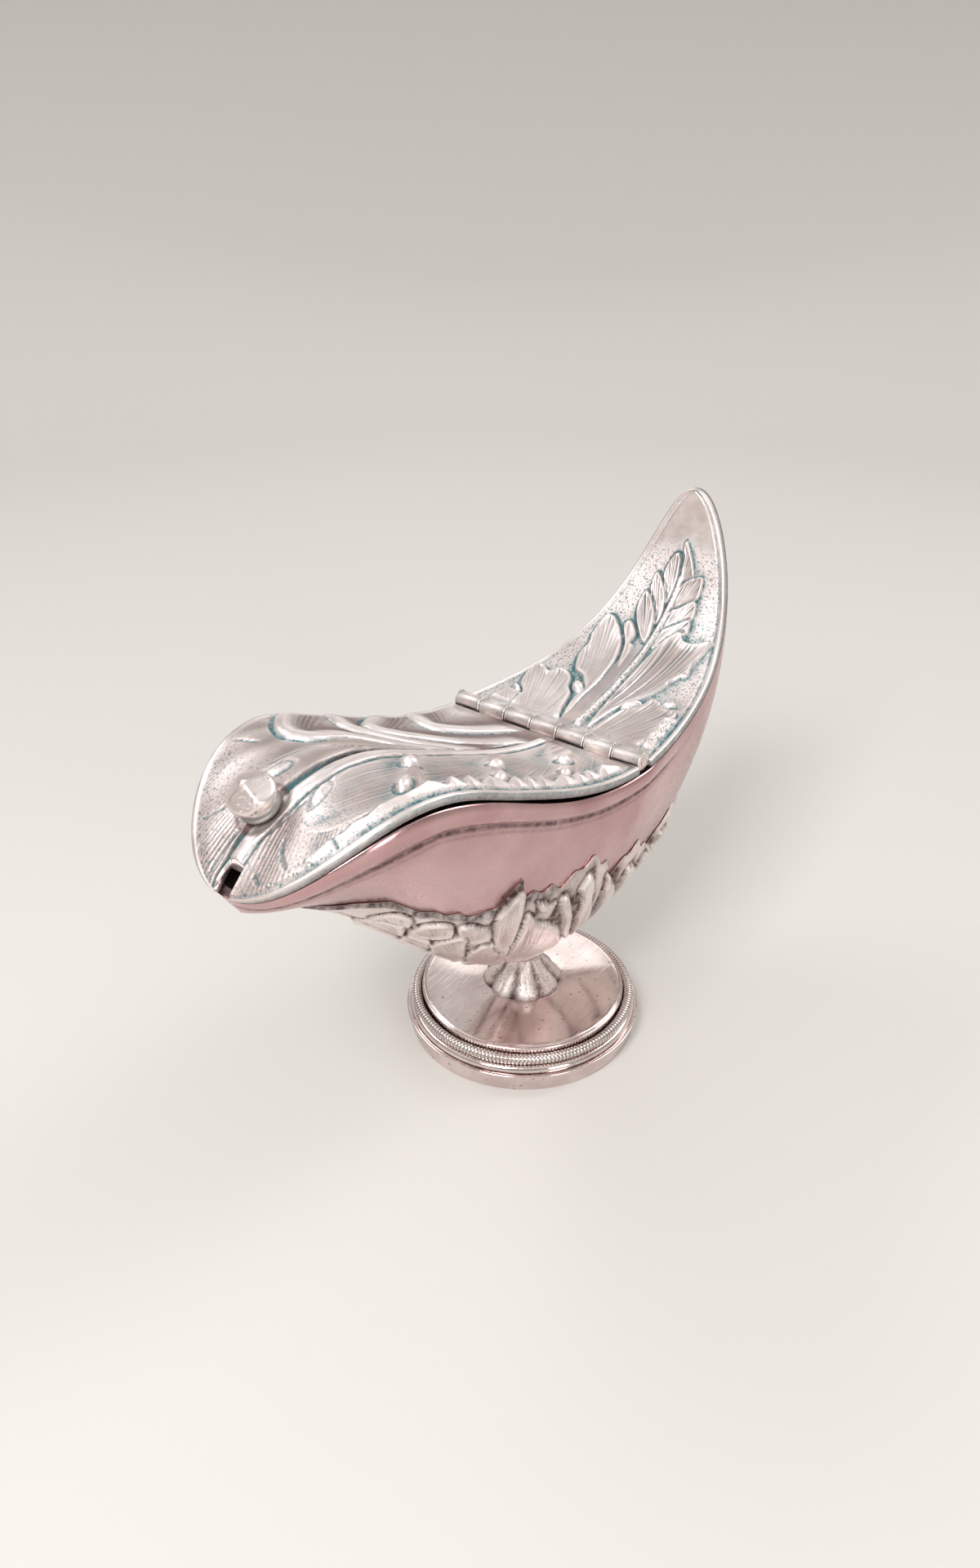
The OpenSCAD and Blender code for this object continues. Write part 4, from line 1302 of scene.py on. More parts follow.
    def margin(self, r: Relief, w: Array) -> None:
        """Band along the right edge: flat facets folded across about every 6 mm, a plain ledge to the bow.

        Args:
            r: the relief that takes it.
            w: half breadth of the plate.
        """
        u, v = r.u, r.v
        band = mix(*self.margin_w, ease(u, 45, 75))
        fold = mix(zigzag(u, self.margin_fold_mm, 0.25, 3.7), 0.7, 0.75 * ease(u, 72, 86))
        d = v + (w - band) - 1.8 * (fold - 0.5)
        crest = (self.margin_h - 1.0 * ease(u, 78, 96)) * (0.5 + 0.5 * fold)
        outer = np.clip(1 + d / (2.2 + 0.8 * fold), 0, 1)
        inner = np.clip(1 - d / (1.0 + 1.0 * fold), 0, 1)
        height = crest * np.minimum(outer, inner) * (1 - ease(u, 98, 106)) * ease(u, 7, 9)
        over = (v < 0) & (height > np.maximum(r.h, 0.05))
        # No painted shade on the margin's facets
        r.h, r.tone = np.where(over, height, r.h), np.where(over, 0, r.tone)

    def berries(self) -> List[Bead]:
        """Berries in the eyes between the right lobes, a pointed fold by each, and nail-like tips.

        Returns:
            The beads.
        """
        round_ones = [Bead(at, 2.1, 2.6, groove=0.6) for at in ((70.3, -11.2), (41.8, -12.7), (17.5, -15.5))]
        pointed = [Bead(at, radius, height, stretch, -35, 0.6) for at, radius, height, stretch in (
            ((79.6, -18.4), 1.6, 2.2, 1.7), ((51.0, -20.4), 1.8, 2.2, 1.5), ((24.5, -20.5), 1.6, 2.1, 1.5))]
        nails = [Bead(at, 1.2, 1.1, 2.4, turn) for at, turn in (((89.8, -6.7), -14), ((88.9, 6.8), 16))]
        return round_ones + pointed + nails

    def veins(self) -> List[Stroke]:
        """Veins cut into the bow field and the margin.

        Returns:
            Their lines.
        """
        lines = (
            ((91, -5.7), (98, -3.6), (105.2, -1.2), (110, -0.4)),
            ((100.4, -6.6), (103.5, -8.6), (105.6, -11.5)),
            ((109, -5), (110.4, -7.4)), ((96.6, -16.2), (98, -18.8)), ((108, 11.2), (111, 10.8)),
            ((100, 10.3), (104.7, 14.8)), ((84.2, 17.5), (85.5, 20.2), (86.4, 23.3)),
            ((75, 4.6), (82.3, 7.7), (88.5, 9.7)), ((99, 3.6), (106, 4.6), (113, 5.4)))
        return [Stroke(line) for line in lines]

    def make(self, metal: bpy.types.Material) -> bpy.types.Object:
        """Builds the lid, cuts the spoon notch and dresses it.

        Args:
            metal: its finish.

        Returns:
            The lid.
        """
        obj = self.surface().build(self.name)
        self.cut_notch(obj)
        return dress(obj, metal, Body.LID, Slot.CAST, "lid")

    def cut_notch(self, obj: bpy.types.Object) -> None:
        """Cuts the notch at the bow tip with a box, a hair wider so that no face meets a column of points.

        Args:
            obj: the lid.
        """
        tip, low = self.lines.bow_sheer[3]
        wide, deep = self.notch
        half = wide / 2 + 0.003
        x, y, z = (tip - deep, tip + deep), (-half, half), (low + self.notch_z[0], low + self.notch_z[1])
        corners = np.array([[a, b, c] for a in x for b in y for c in z])
        quads = np.array([[0, 1, 3, 2], [4, 6, 7, 5], [0, 4, 5, 1], [2, 3, 7, 6], [0, 2, 6, 4], [1, 5, 7, 3]])
        cutter = Surface(corners, [quads]).build("notch_cutter")
        cut = obj.modifiers.new("notch", "BOOLEAN")
        cut.operation, cut.object, cut.solver = "DIFFERENCE", cutter, "MANIFOLD"
        deps = bpy.context.evaluated_depsgraph_get()
        mesh = bpy.data.meshes.new_from_object(obj.evaluated_get(deps))
        obj.modifiers.clear()
        old, obj.data = obj.data, mesh
        bpy.data.meshes.remove(old)
        bpy.data.meshes.remove(cutter.data)
        mesh.name = obj.name


@dataclass
class SternDeck(LeafPlate):
    """Fixed plate over the stern half: broad lobes, a flat stem band, a fern-like tip, a plain end."""

    name: str = "deck_leaf"
    edge_x: float = 11.45
    stem_line: Outline = ((2, -4.3), (18, -2.4), (34, -0.8), (47, -0.6), (59, -0.7), (69, -1.1), (75, -1.4))
    rows: int = 340
    columns: int = 235
    hinge_flat: Pair = (4.4, 6.5)
    stem_end: float = 73.0
    stem_run: float = 76.0
    stem_half: Pair = (1.0, 0.7)
    stem_h: Pair = (1.6, 1.0)
    band_h: float = 0.4
    band_painted_shade: float = 0.35
    margin_in: float = 5.0
    margin_h: float = 1.5
    margin_fold_mm: float = 5.0
    plain_from: Pair = (74.0, 82.0)

    def end(self) -> float:
        """Last station, at the stern."""
        return self.lines.stern_end

    def relief(self, u: Array, v: Array, w: Array) -> Tuple[Relief, Array, Array]:
        """Paints the leaf from the ground up.

        Args:
            u: places along.
            v: places across.
            w: half breadths of the plate.

        Returns:
            The leaf with its painted brown shade, its granular ground, and its dirt with painted shade, which
            is none.
        """
        r = Relief.flat(u, v)
        edge = w - np.abs(v)
        for piece in [*self.petals(), *self.beads()]:
            piece.paint(r)
        leaf = ease(r.h, 0.15, 0.5)
        x = v - self.stem(u)
        band = ease(x, 0.6, 1.0) * (1 - leaf) * (1 - ease(u, 38, 50)) * (1 - ease(x, 5, 6))
        # The flat band beside the stem takes painted brown shade
        r.h, r.tone = mix(r.h, self.band_h, band), mix(r.tone, self.band_painted_shade, band)
        half = mix(*self.stem_half, u / self.stem_run)
        ridge = mix(*self.stem_h, u / self.stem_run) * half_round(x / half) * (1 - ease(u, 68, self.stem_end))
        bar = (np.abs(x) < half) & (u < self.stem_end)
        # No painted shade on the stem's bar
        r.h, r.tone = np.where(bar, np.maximum(r.h, ridge), r.h), np.where(bar, 0, r.tone)
        r.h -= 0.4 * (hill(x + half + 0.3, 0.5) + hill(x - half - 0.3, 0.5)) * (1 - ease(u, 66, 72))
        r.h = self.crumbs(r, w) * ease(u, *self.hinge_flat) * ease(edge, 1.0, 2.2)
        r.h += 0.5 * hill(edge - 0.6, 0.8) - np.where(v < 0, 0.4, 0.15) * hill(edge - 1.9, 0.6)
        r.tone *= ease(edge, 1.0, 2.2)
        grain = (1 - leaf) * (1 - band) * ease(edge, 0.8, 1.6) * (1 - ease(u, *self.plain_from))
        return r, np.clip(grain, 0, 1), np.zeros(u.shape)

    def crumbs(self, r: Relief, w: Array) -> Array:
        """Crinkled margin by the hinge on the right, as on the lid.

        Args:
            r: the relief that it lies on.
            w: half breadths of the plate.

        Returns:
            The relief's heights with the margin.
        """
        fold = zigzag(r.u, self.margin_fold_mm, 0.3, 2.9)
        d = r.v + (w - self.margin_in) - 0.8 * (fold - 0.5)
        ridge = self.margin_h * np.clip(1 - np.abs(d) / 2.2, 0, 1) ** 0.8 * (0.65 + 0.35 * fold)
        ridge = ridge * ease(r.u, 4, 6) * (1 - ease(r.u, 23, 27))
        return np.where(r.v < 0, np.maximum(r.h, ridge), r.h)

    def petals(self) -> List[Petal]:
        """Petals on both sides, painted from the stern to the hinge.

        Returns:
            The fern's leaflets, then the broad lobes.
        """
        # Each petal's tone is the amount of painted brown shade in its scoop
        leaflet = dict(rim=1.4, scoop=0.35, reach=1.4, furrow_h=0.25, pitch=0.9, step=0.35, groove=0.4,
                       tone=0.5)
        fern = (
            (((71.1, -0.6), (75.1, -0.6), (78, 0.5), (80, -0.2), (77, -2.2), (73.2, -4), (69.7, -5),
              (66.5, -3), (66, -1.2)), (62, -1)),
            (((67.9, 4.1), (71.4, 4.3), (76, 2.4), (75.2, 0.6), (71.2, 0), (66.6, -0.2), (62, 0.2),
              (61, 1.2), (64.1, 2.6)), (57, 0)),
            (((65, -1.2), (68.5, -3), (71, -7.5), (66, -8.4), (63.3, -7.5), (60.5, -4.5), (57, -2),
              (58.5, -0.9)), (54, -0.6)),
            (((62, 6.3), (65.8, 7.2), (69.4, 6.6), (68, 4.6), (64.1, 2.2), (59.5, 0.6), (55, 0.4),
              (54, 1.6), (57.5, 3.8)), (50, 0)),
            (((58.2, -1.2), (60.5, -3.8), (63.6, -7.9), (59.1, -9.2), (56.5, -7.9), (53.5, -4.3),
              (50, -2), (51.5, -1)), (47, -0.6)),
            (((52.2, 6.2), (56.7, 8.4), (60.9, 8.7), (63.6, 7.7), (61, 5.2), (57, 2.6), (52, 1),
              (48, 0.8), (47.5, 2.2)), (43, 0)),
            (((51.6, -1.4), (55.2, -5), (57.6, -8.5), (53.7, -9.7), (51.5, -7.6), (48.5, -4.4),
              (45.5, -2.4), (47, -1.2)), (42, -0.6)))
        broad = [
            Petal(((48.5, 9), (51.6, 10.1), (53.3, 8.8), (52, 6.7), (49.2, 4.7), (45.9, 4.6), (45, 3.3),
                   (39.3, 2.6), (33.7, 2.2), (38.6, 4.6), (44.6, 6.5)),
                  (28, 1), scoop=0.2, rim=1.0, pitch=1.6),
            Petal(((5, 1.4), (15.3, 4.9), (22.2, 5.9), (27.5, 9.7), (29.6, 13.4), (35.8, 16.3),
                   (41, 16.3), (44.6, 17.4), (49.7, 17.3), (53, 16.4), (53.2, 14.1), (51, 11.5),
                   (48.6, 9.3), (44.7, 6.8), (38.3, 4.8), (32.4, 4.1), (25.8, 3.4), (18.4, 3),
                   (10.4, 1.5)), (-4, -2), rim=1.6, scoop=1.0, furrow_h=0.14, pitch=1.3, tone=0.16),
            Petal(((23.3, -2.6), (33.2, -2.2), (42, -2.6), (48.5, -3.8), (52.4, -6), (53.4, -7.9),
                   (51.2, -9.9), (51.3, -13.1), (53.3, -16.6), (51.8, -17.6), (48.4, -17.3),
                   (43.8, -16.4), (39.5, -17), (37.8, -15.3), (35, -14), (33.1, -14), (27.4, -12),
                   (21.5, -9), (14.9, -7.7), (4.6, -6.9)),
                  (0, -4), rim=1.6, scoop=0.9, furrow_h=0.24, pitch=1.7, tone=0.5),
            Petal(((4.5, 24.2), (8.1, 23.3), (11.1, 22.6), (11.3, 20), (10.7, 17.7), (7.5, 16.3),
                   (4, 16.5), (2, 20.4)), (-4, 13), rim=1.2),
            Petal(((1, 15), (9.1, 17.7), (11.7, 18.7), (16.1, 22.4), (23.1, 24.4), (26.7, 23.8),
                   (26.8, 21.2), (24.9, 18.6), (27.6, 17.5), (27.7, 14.6), (25.3, 11.4), (21, 9.3),
                   (18, 6.8), (11.2, 4.4), (2, 1.6)),
                  (-10, 5), rim=1.7, scoop=1.1, furrow_h=0.12, pitch=1.3, tone=0.14),
            Petal(((1.1, -9.4), (16.1, -9.1), (20.8, -11.6), (24.5, -12.6), (27, -13.8), (26.2, -16.5),
                   (24.4, -19.1), (24.5, -22.3), (21.6, -23.4), (18.5, -22.4), (14.7, -22.8),
                   (10.8, -23.6), (1, -21.3)),
                  (-12, -9), rim=1.6, scoop=1.1, furrow_h=0.12, pitch=1.3, tone=0.45)]
        return petals_of(fern, leaflet) + broad

    def beads(self) -> List[Bead]:
        """Curled eyes where the lobes part."""
        return [Bead((22.0, 7.2), 1.6, 2.0, 1.6, 40), Bead((21.2, -10.4), 1.3, 2.0, 2.4, -38),
                Bead((26.0, -19.0), 1.3, 1.7, 1.5, -60), Bead((12.5, 21.0), 0.9, 1.7, 2.0, 60)]

    def make(self, metal: bpy.types.Material) -> bpy.types.Object:
        """Builds the deck and dresses it."""
        return dress(self.surface().build(self.name), metal, Body.BOAT, Slot.CAST, "stern_deck")


# Bowl


@dataclass
class Hull:
    """Cast bowl: a smooth wall with a roll and two cut lines under the rim."""

    lines: BoatLines
    wall: float = 1.8
    roll_out: float = 1.0
    # Place below the rim, half width and depth of the two cut lines, the first two in widths of the band
    cuts: Tuple[Triple, Triple] = ((1.1, 0.16, 0.16), (1.4, 0.12, 0.1))
    rim_fall: float = 1.2
    hollow: Pair = (0.988, 0.86)
    rows: int = 240
    under_columns: int = 40
    roll_columns: int = 60
    roll_from: float = 0.78
    pad_r: float = 4.9
    pad_z: Pair = (20.3, 25.7)
    pad_turns: int = 64
    inside_marks: Pair = (0.3, 0.6)
    band: Outline = ((-1.0, 0.26), (-0.804, 0.196), (-0.667, 0.126), (-0.44, 0.09),
                     (-0.226, 0.072), (0.3, 0.06))

    def below_rim(self, t: Array, s: Array) -> Array:
        """Distance below the rim, in widths of the roll's band."""
        return (1 - np.abs(s)) / on_table(self.band, t)

    def roll(self, t: Array, s: Array) -> Array:
        """Roll under the rim: half a sine wave over its band, then two cut lines below it.

        Args:
            t: stations.
            s: places on the section.

        Returns:
            Heights over the smooth outside.
        """
        below = self.below_rim(t, s)
        fade = (1 - ease(t, -0.1, 0.25)) * ease(t, -1, -0.8)
        bulge = self.roll_out * np.sin(np.pi * np.clip(below, 0, 1)) ** 0.8 * fade
        cuts = sum(deep * hill(below - at, half) for at, half, deep in self.cuts)
        return bulge - cuts * (1 - ease(t, 0.05, 0.4)) * ease(t, -0.98, -0.85)

    def surface(self) -> Surface:
        """Skin and lining as two grids, closed by a strip along the rim and fans at both tips.

        Returns:
            The bowl with recess, grain, and dirt with painted shade at its vertices.
        """
        k = np.sin(np.linspace(-0.5, 0.5, self.rows) * np.pi)
        t = np.where(k < 0, -k * self.lines.bow_end, k * self.lines.stern_end)[:, None]
        half = np.r_[np.linspace(0, self.roll_from, self.under_columns, endpoint=False),
                     np.linspace(self.roll_from, 1, self.roll_columns)]
        t, s = np.broadcast_arrays(t, np.r_[-half[:0:-1], half][None, :])
        skin = self.lines.outer(t, s) + self.roll(t, s)[..., None] * self.lines.outer_normal(t, s)
        d = t * np.where(t < 0, self.hollow[0], self.hollow[1])
        low = self.lines.keel(d) + self.wall * BoatLines.left_of(self.lines.keel, d)
        high = self.lines.sheer(d) - self.rim_fall * BoatLines.left_of(self.lines.sheer, d)
        breadth = self.lines.breadth(t) * (1 - self.wall / self.lines.half_beam)
        lining = self.lines.section(low, high, breadth, self.lines.power(d), s)
        n, m = t.shape
        o = n * m
        grid = Surface.grid_faces(n, m)
        rim = np.r_[np.arange(n) * m, np.arange(n)[::-1] * m + m - 1]
        strip = np.stack([rim, np.roll(rim, -1), np.roll(rim, -1) + o, rim + o], -1)
        cap = np.arange(m)
        fan = np.stack([np.zeros(m - 2, int), cap[1:-1], cap[2:]], -1)
        far = fan + (n - 1) * m
        faces = [grid[:, ::-1], grid + o, strip, fan, far[:, ::-1], fan[:, ::-1] + o, far + o]
        below = self.below_rim(t, s)
        # Dirt with painted shade in the two cut lines under the rim, fading out to the stern
        shade_and_dirt = (0.8 * hill(below - 1.12, 0.2) + 0.3 * hill(below - 1.4, 0.14)) * (1 - ease(t, 0.0, 0.3))
        plain = np.zeros(o)
        return Surface(np.r_[skin.reshape(-1, 3), lining.reshape(-1, 3)], faces, {
            "recess": np.r_[plain, plain + self.inside_marks[0]],
            "grain": np.r_[plain, plain + self.inside_marks[1]], "dirt_and_shade": np.r_[shade_and_dirt.ravel(), plain]})

    def make(self, metal: bpy.types.Material) -> bpy.types.Object:
        """Builds the bowl with the pad that its rod passes through, and dresses it.

        Args:
            metal: its finish.

        Returns:
            The bowl.
        """
        (z0, z1), r0, r1 = self.pad_z, ROD_BORE_R, self.pad_r
        pad = lathe(np.array([[r0, z0], [r1, z0], [r1, z1], [r0, z1]]), self.pad_turns)
        obj = self.surface().joined(pad).build("bowl", 40)
        return dress(obj, metal, Body.BOAT, Slot.CAST, "hull")


@dataclass
class LeafCalyx:
    """Leaves that wrap the lower bowl: lobed upper edge, pleats, a rib on the keel."""

    lines: BoatLines
    film: float = 0.35
    skin_t: float = 0.7
    rib_h: float = 0.8
    pleat_h: float = 0.45
    pleat_pitch: float = 0.115
    rows: int = 360
    columns: int = 181
    back_columns: int = 25
    neck_r: float = 6.6
    neck_clear: float = 3.5
    scallop: float = 0.012
    scallop_waves: float = 95.0
    rim_step: float = 0.035
    blur_cells: int = 4
    skin_grain: float = 0.15
    recess_mm: float = 0.3
    crest_mm: float = 0.25
    edge: Outline = (
        (-0.86, 0.10), (-0.80, 0.36), (-0.72, 0.43), (-0.63, 0.39), (-0.52, 0.45), (-0.45, 0.49),
        (-0.41, 0.57), (-0.365, 0.70), (-0.335, 0.62), (-0.29, 0.66), (-0.25, 0.67), (-0.21, 0.68),
        (-0.13, 0.76), (-0.06, 0.71), (-0.03, 0.63), (0.07, 0.68), (0.18, 0.55), (0.28, 0.58),
        (0.38, 0.44), (0.48, 0.44), (0.58, 0.30), (0.68, 0.08))

    def upper_edge(self, t: Array) -> Array:
        """Share of the way from keel to rim that the leaves reach, with small scallops."""
        scallops = self.scallop * np.sin(t * self.scallop_waves) * ease(1 - np.abs(t), 0.3, 0.5)
        return on_table(self.edge, t) + scallops

    def lobes(self) -> List[Petal]:
        """Lobes on one side, as (x, girth from the keel): two rows to the bow, then flutes to the stern.

        Returns:
            The petals in the order in which they lie over one another.
        """
        leaf = dict(rim=1.5, scoop=0.7, reach=2.6, low=0.8, pitch=1.7, furrow_h=0.12, groove=0.4, step=0.7,
                    tone=0.1)
        flute = dict(leaf, rim=1.6, scoop=0.3, reach=2.0)
        leaves = (
            (((-66, 10), (-64, 14.5), (-60, 15.5), (-57, 14), (-56, 10.5), (-60, 9), (-64, 7)), (-54, 6)),
            (((-62.3, 9), (-58.6, 10), (-56.9, 10.5), (-54.8, 9), (-51.8, 5.5), (-46, 2), (-47.5, -1),
              (-60, -1), (-64, 4)), (-44, 0)),
            (((-54, 9), (-54.5, 13.7), (-52.1, 17), (-48.6, 19.2), (-46.5, 18.1), (-44.7, 14.9),
              (-46.4, 11.4), (-49.4, 8.3), (-51.9, 6.9)), (-44, 8)),
            (((-51.9, 6.4), (-48.8, 7.6), (-45.9, 7.9), (-41, 5), (-37.1, 1.5), (-37, -1),
              (-46, -1)), (-34, 0)),
            (((-46.2, 19.4), (-43.4, 22.4), (-40.6, 23.2), (-37.6, 23.6), (-35.1, 21), (-36.5, 17.6),
              (-38.8, 15.2), (-43.1, 16.3)), (-36, 14)),
            (((-44.7, 7.4), (-44.4, 13), (-42.7, 16.7), (-39.9, 15.7), (-36.4, 10.8), (-29.1, 4.5),
              (-28.1, -1), (-36, -1), (-40, 3)), (-26, 0)),
            (((-34.7, 10.5), (-35.1, 15.8), (-32.7, 18.4), (-30.1, 19), (-26.5, 19.1), (-23.8, 14.9),
              (-19.1, 8.7), (-20, 4), (-23.5, -1), (-26, 2.1), (-32.1, 6.9)), (-18, 2)),
            (((-29.3, 33.4), (-24.1, 31.1), (-18, 30.4), (-12.7, 28), (-7.9, 22.8), (-2.6, 14.1),
              (-4.9, 11), (-13.6, 9), (-20.9, 11), (-25, 17), (-27.8, 25.5)), (-12, 2)),
            (((-34.5, 40.7), (-32.4, 36.3), (-30.7, 31.6), (-28.6, 25.5), (-26.5, 19.1), (-26.8, 15.3),
              (-31, 17.4), (-35.7, 22.7), (-38.2, 27.2), (-38.2, 31.2), (-36.9, 36.1)), (-27, 10)))
        flutes = (
            (((-17.2, 41.1), (-18.9, 40), (-18.1, 36.4), (-13.8, 31.4), (-10.7, 25.8), (-4.2, 19),
              (-2, 19.5), (-6.4, 25.8), (-10.7, 33.1), (-14.6, 38.2)), (-2, 14)),
            (((-9.9, 47.1), (-11.6, 45), (-12.7, 41.9), (-9.9, 38.6), (-8.2, 34.5), (-6.4, 29.1),
              (-1, 20), (2.2, 15), (6.2, 17), (-0.8, 31.2), (-5.1, 38.5), (-7.2, 43.9)), (4, 11)),
            (((-1.1, 44.3), (0.3, 39.5), (2.1, 33.4), (7, 22), (9, 15), (13, 16), (14.6, 21.1),
              (12, 28.2), (3.6, 39.8)), (11, 10)),
            (((12.1, 37.1), (11.9, 33.3), (15, 25), (18, 16), (22, 15), (24.9, 20), (21, 29),
              (15, 37)), (20, 10)),
            (((24, 31), (24.5, 28), (27, 22), (30, 14), (34, 13), (36, 18), (32, 26), (28, 31)), (33, 8)),
            (((36, 27), (37, 23), (39, 17), (42, 11), (46, 11), (47, 15), (44, 21), (40, 26)), (45, 6)),
            (((48, 17), (50, 14), (53, 9), (57, 8), (58, 11), (55, 15), (51, 17)), (56, 4)))
        return petals_of(leaves, leaf) + petals_of(flutes, flute)

    def rosette(self) -> List[Bead]:
        """Small flower between the pointed leaf and the flutes."""
        return [Bead((-24.8, 36.6), 1.9, 1.9, groove=0.5), Bead((-21.2, 38.4), 0.7, 1.1),
                Bead((-27.6, 37.8), 0.7, 1.1)]

    def relief(self, t: Array, q: Array, x: Array, girth: Array) -> Array:
        """Soft pleats under the lobes, a rosette, and a rib on the keel.

        Args:
            t: stations.
            q: shares of the way from the keel to the leaves' edge.
            x: places along the boat.
            girth: distances from the keel along the section.

        Returns:
            Heights over the leaves' skin.
        """
        a = np.abs(q)
        lean = t / self.pleat_pitch + 0.5 * a + 0.12 * np.sin(9 * a + 14 * t)
        r = Relief.flat(x, girth)
        r.h = self.pleat_h * np.abs(np.cos(np.pi * lean)) ** 0.6 * np.sin(np.pi * np.clip(a, 0, 1)) ** 0.6
        for piece in [*self.lobes(), *self.rosette()]:
            piece.paint(r)
        return r.h * ease(1 - np.abs(t), 0.1, 0.4) + self.rib_h * hill(q, 0.1)

    def make(self, metal: bpy.types.Material) -> bpy.types.Object:
        """Builds the leaves as a closed skin over the bowl, and dresses them.

        Args:
            metal: their finish.

        Returns:
            The leaves.
        """
        t = np.linspace(self.edge[0][0], self.edge[-1][0], self.rows)[:, None]
        t, q = np.broadcast_arrays(t, np.linspace(-1, 1, self.columns)[None, :])
        s = q * self.upper_edge(t)
        base, normal = self.lines.outer(t, s), self.lines.outer_normal(t, s)
        off_neck = ease(np.hypot(base[..., 0], base[..., 1]), self.neck_r, self.neck_r + self.neck_clear)
        run = np.cumsum(np.linalg.norm(np.diff(base, axis=1, prepend=base[:, :1]), axis=-1), 1)
        height = self.relief(t, q, base[..., 0], np.abs(run - run[:, self.columns // 2][:, None]))
        lift = self.film + self.skin_t + height * off_neck
        lift = mix(self.film, lift, ease(1 - np.abs(q), 0.0, self.rim_step))
        skin = base + lift[..., None] * normal
        lining = (base + 0.5 * self.film * normal)[:, ::-1]
        keep = np.unique(np.linspace(0, self.columns - 1, self.back_columns).astype(int))
        loops = np.concatenate([skin, lining[:, keep]], 1)
        surface = Surface.from_grid(loops, wrap_cols=True, flip=True)
        surface.close_ends(self.rows, loops.shape[1], self.columns + len(keep) // 2)
        smooth = box_blur(height, self.blur_cells)
        # Dirt with painted shade along the leaves' upper edge, on the bow half
        rim = hill(np.abs(q) - 1.0, 0.10) * (1 - ease(t, -0.35, -0.05))
        surface.values = with_back({
            "recess": (np.clip((smooth - height) / self.recess_mm, 0, 1), 0.0),
            "crest": (np.clip((height - smooth) / self.crest_mm, 0, 1), 0.0),
            "grain": (np.full(t.shape, self.skin_grain), 0.0), "dirt_and_shade": (0.8 * rim, 0.0)}, len(keep))
        return dress(surface.build("bowl_leaves"), metal, Body.BOAT, Slot.CAST, "leaf_calyx")


# Foot, neck, knob and hinge


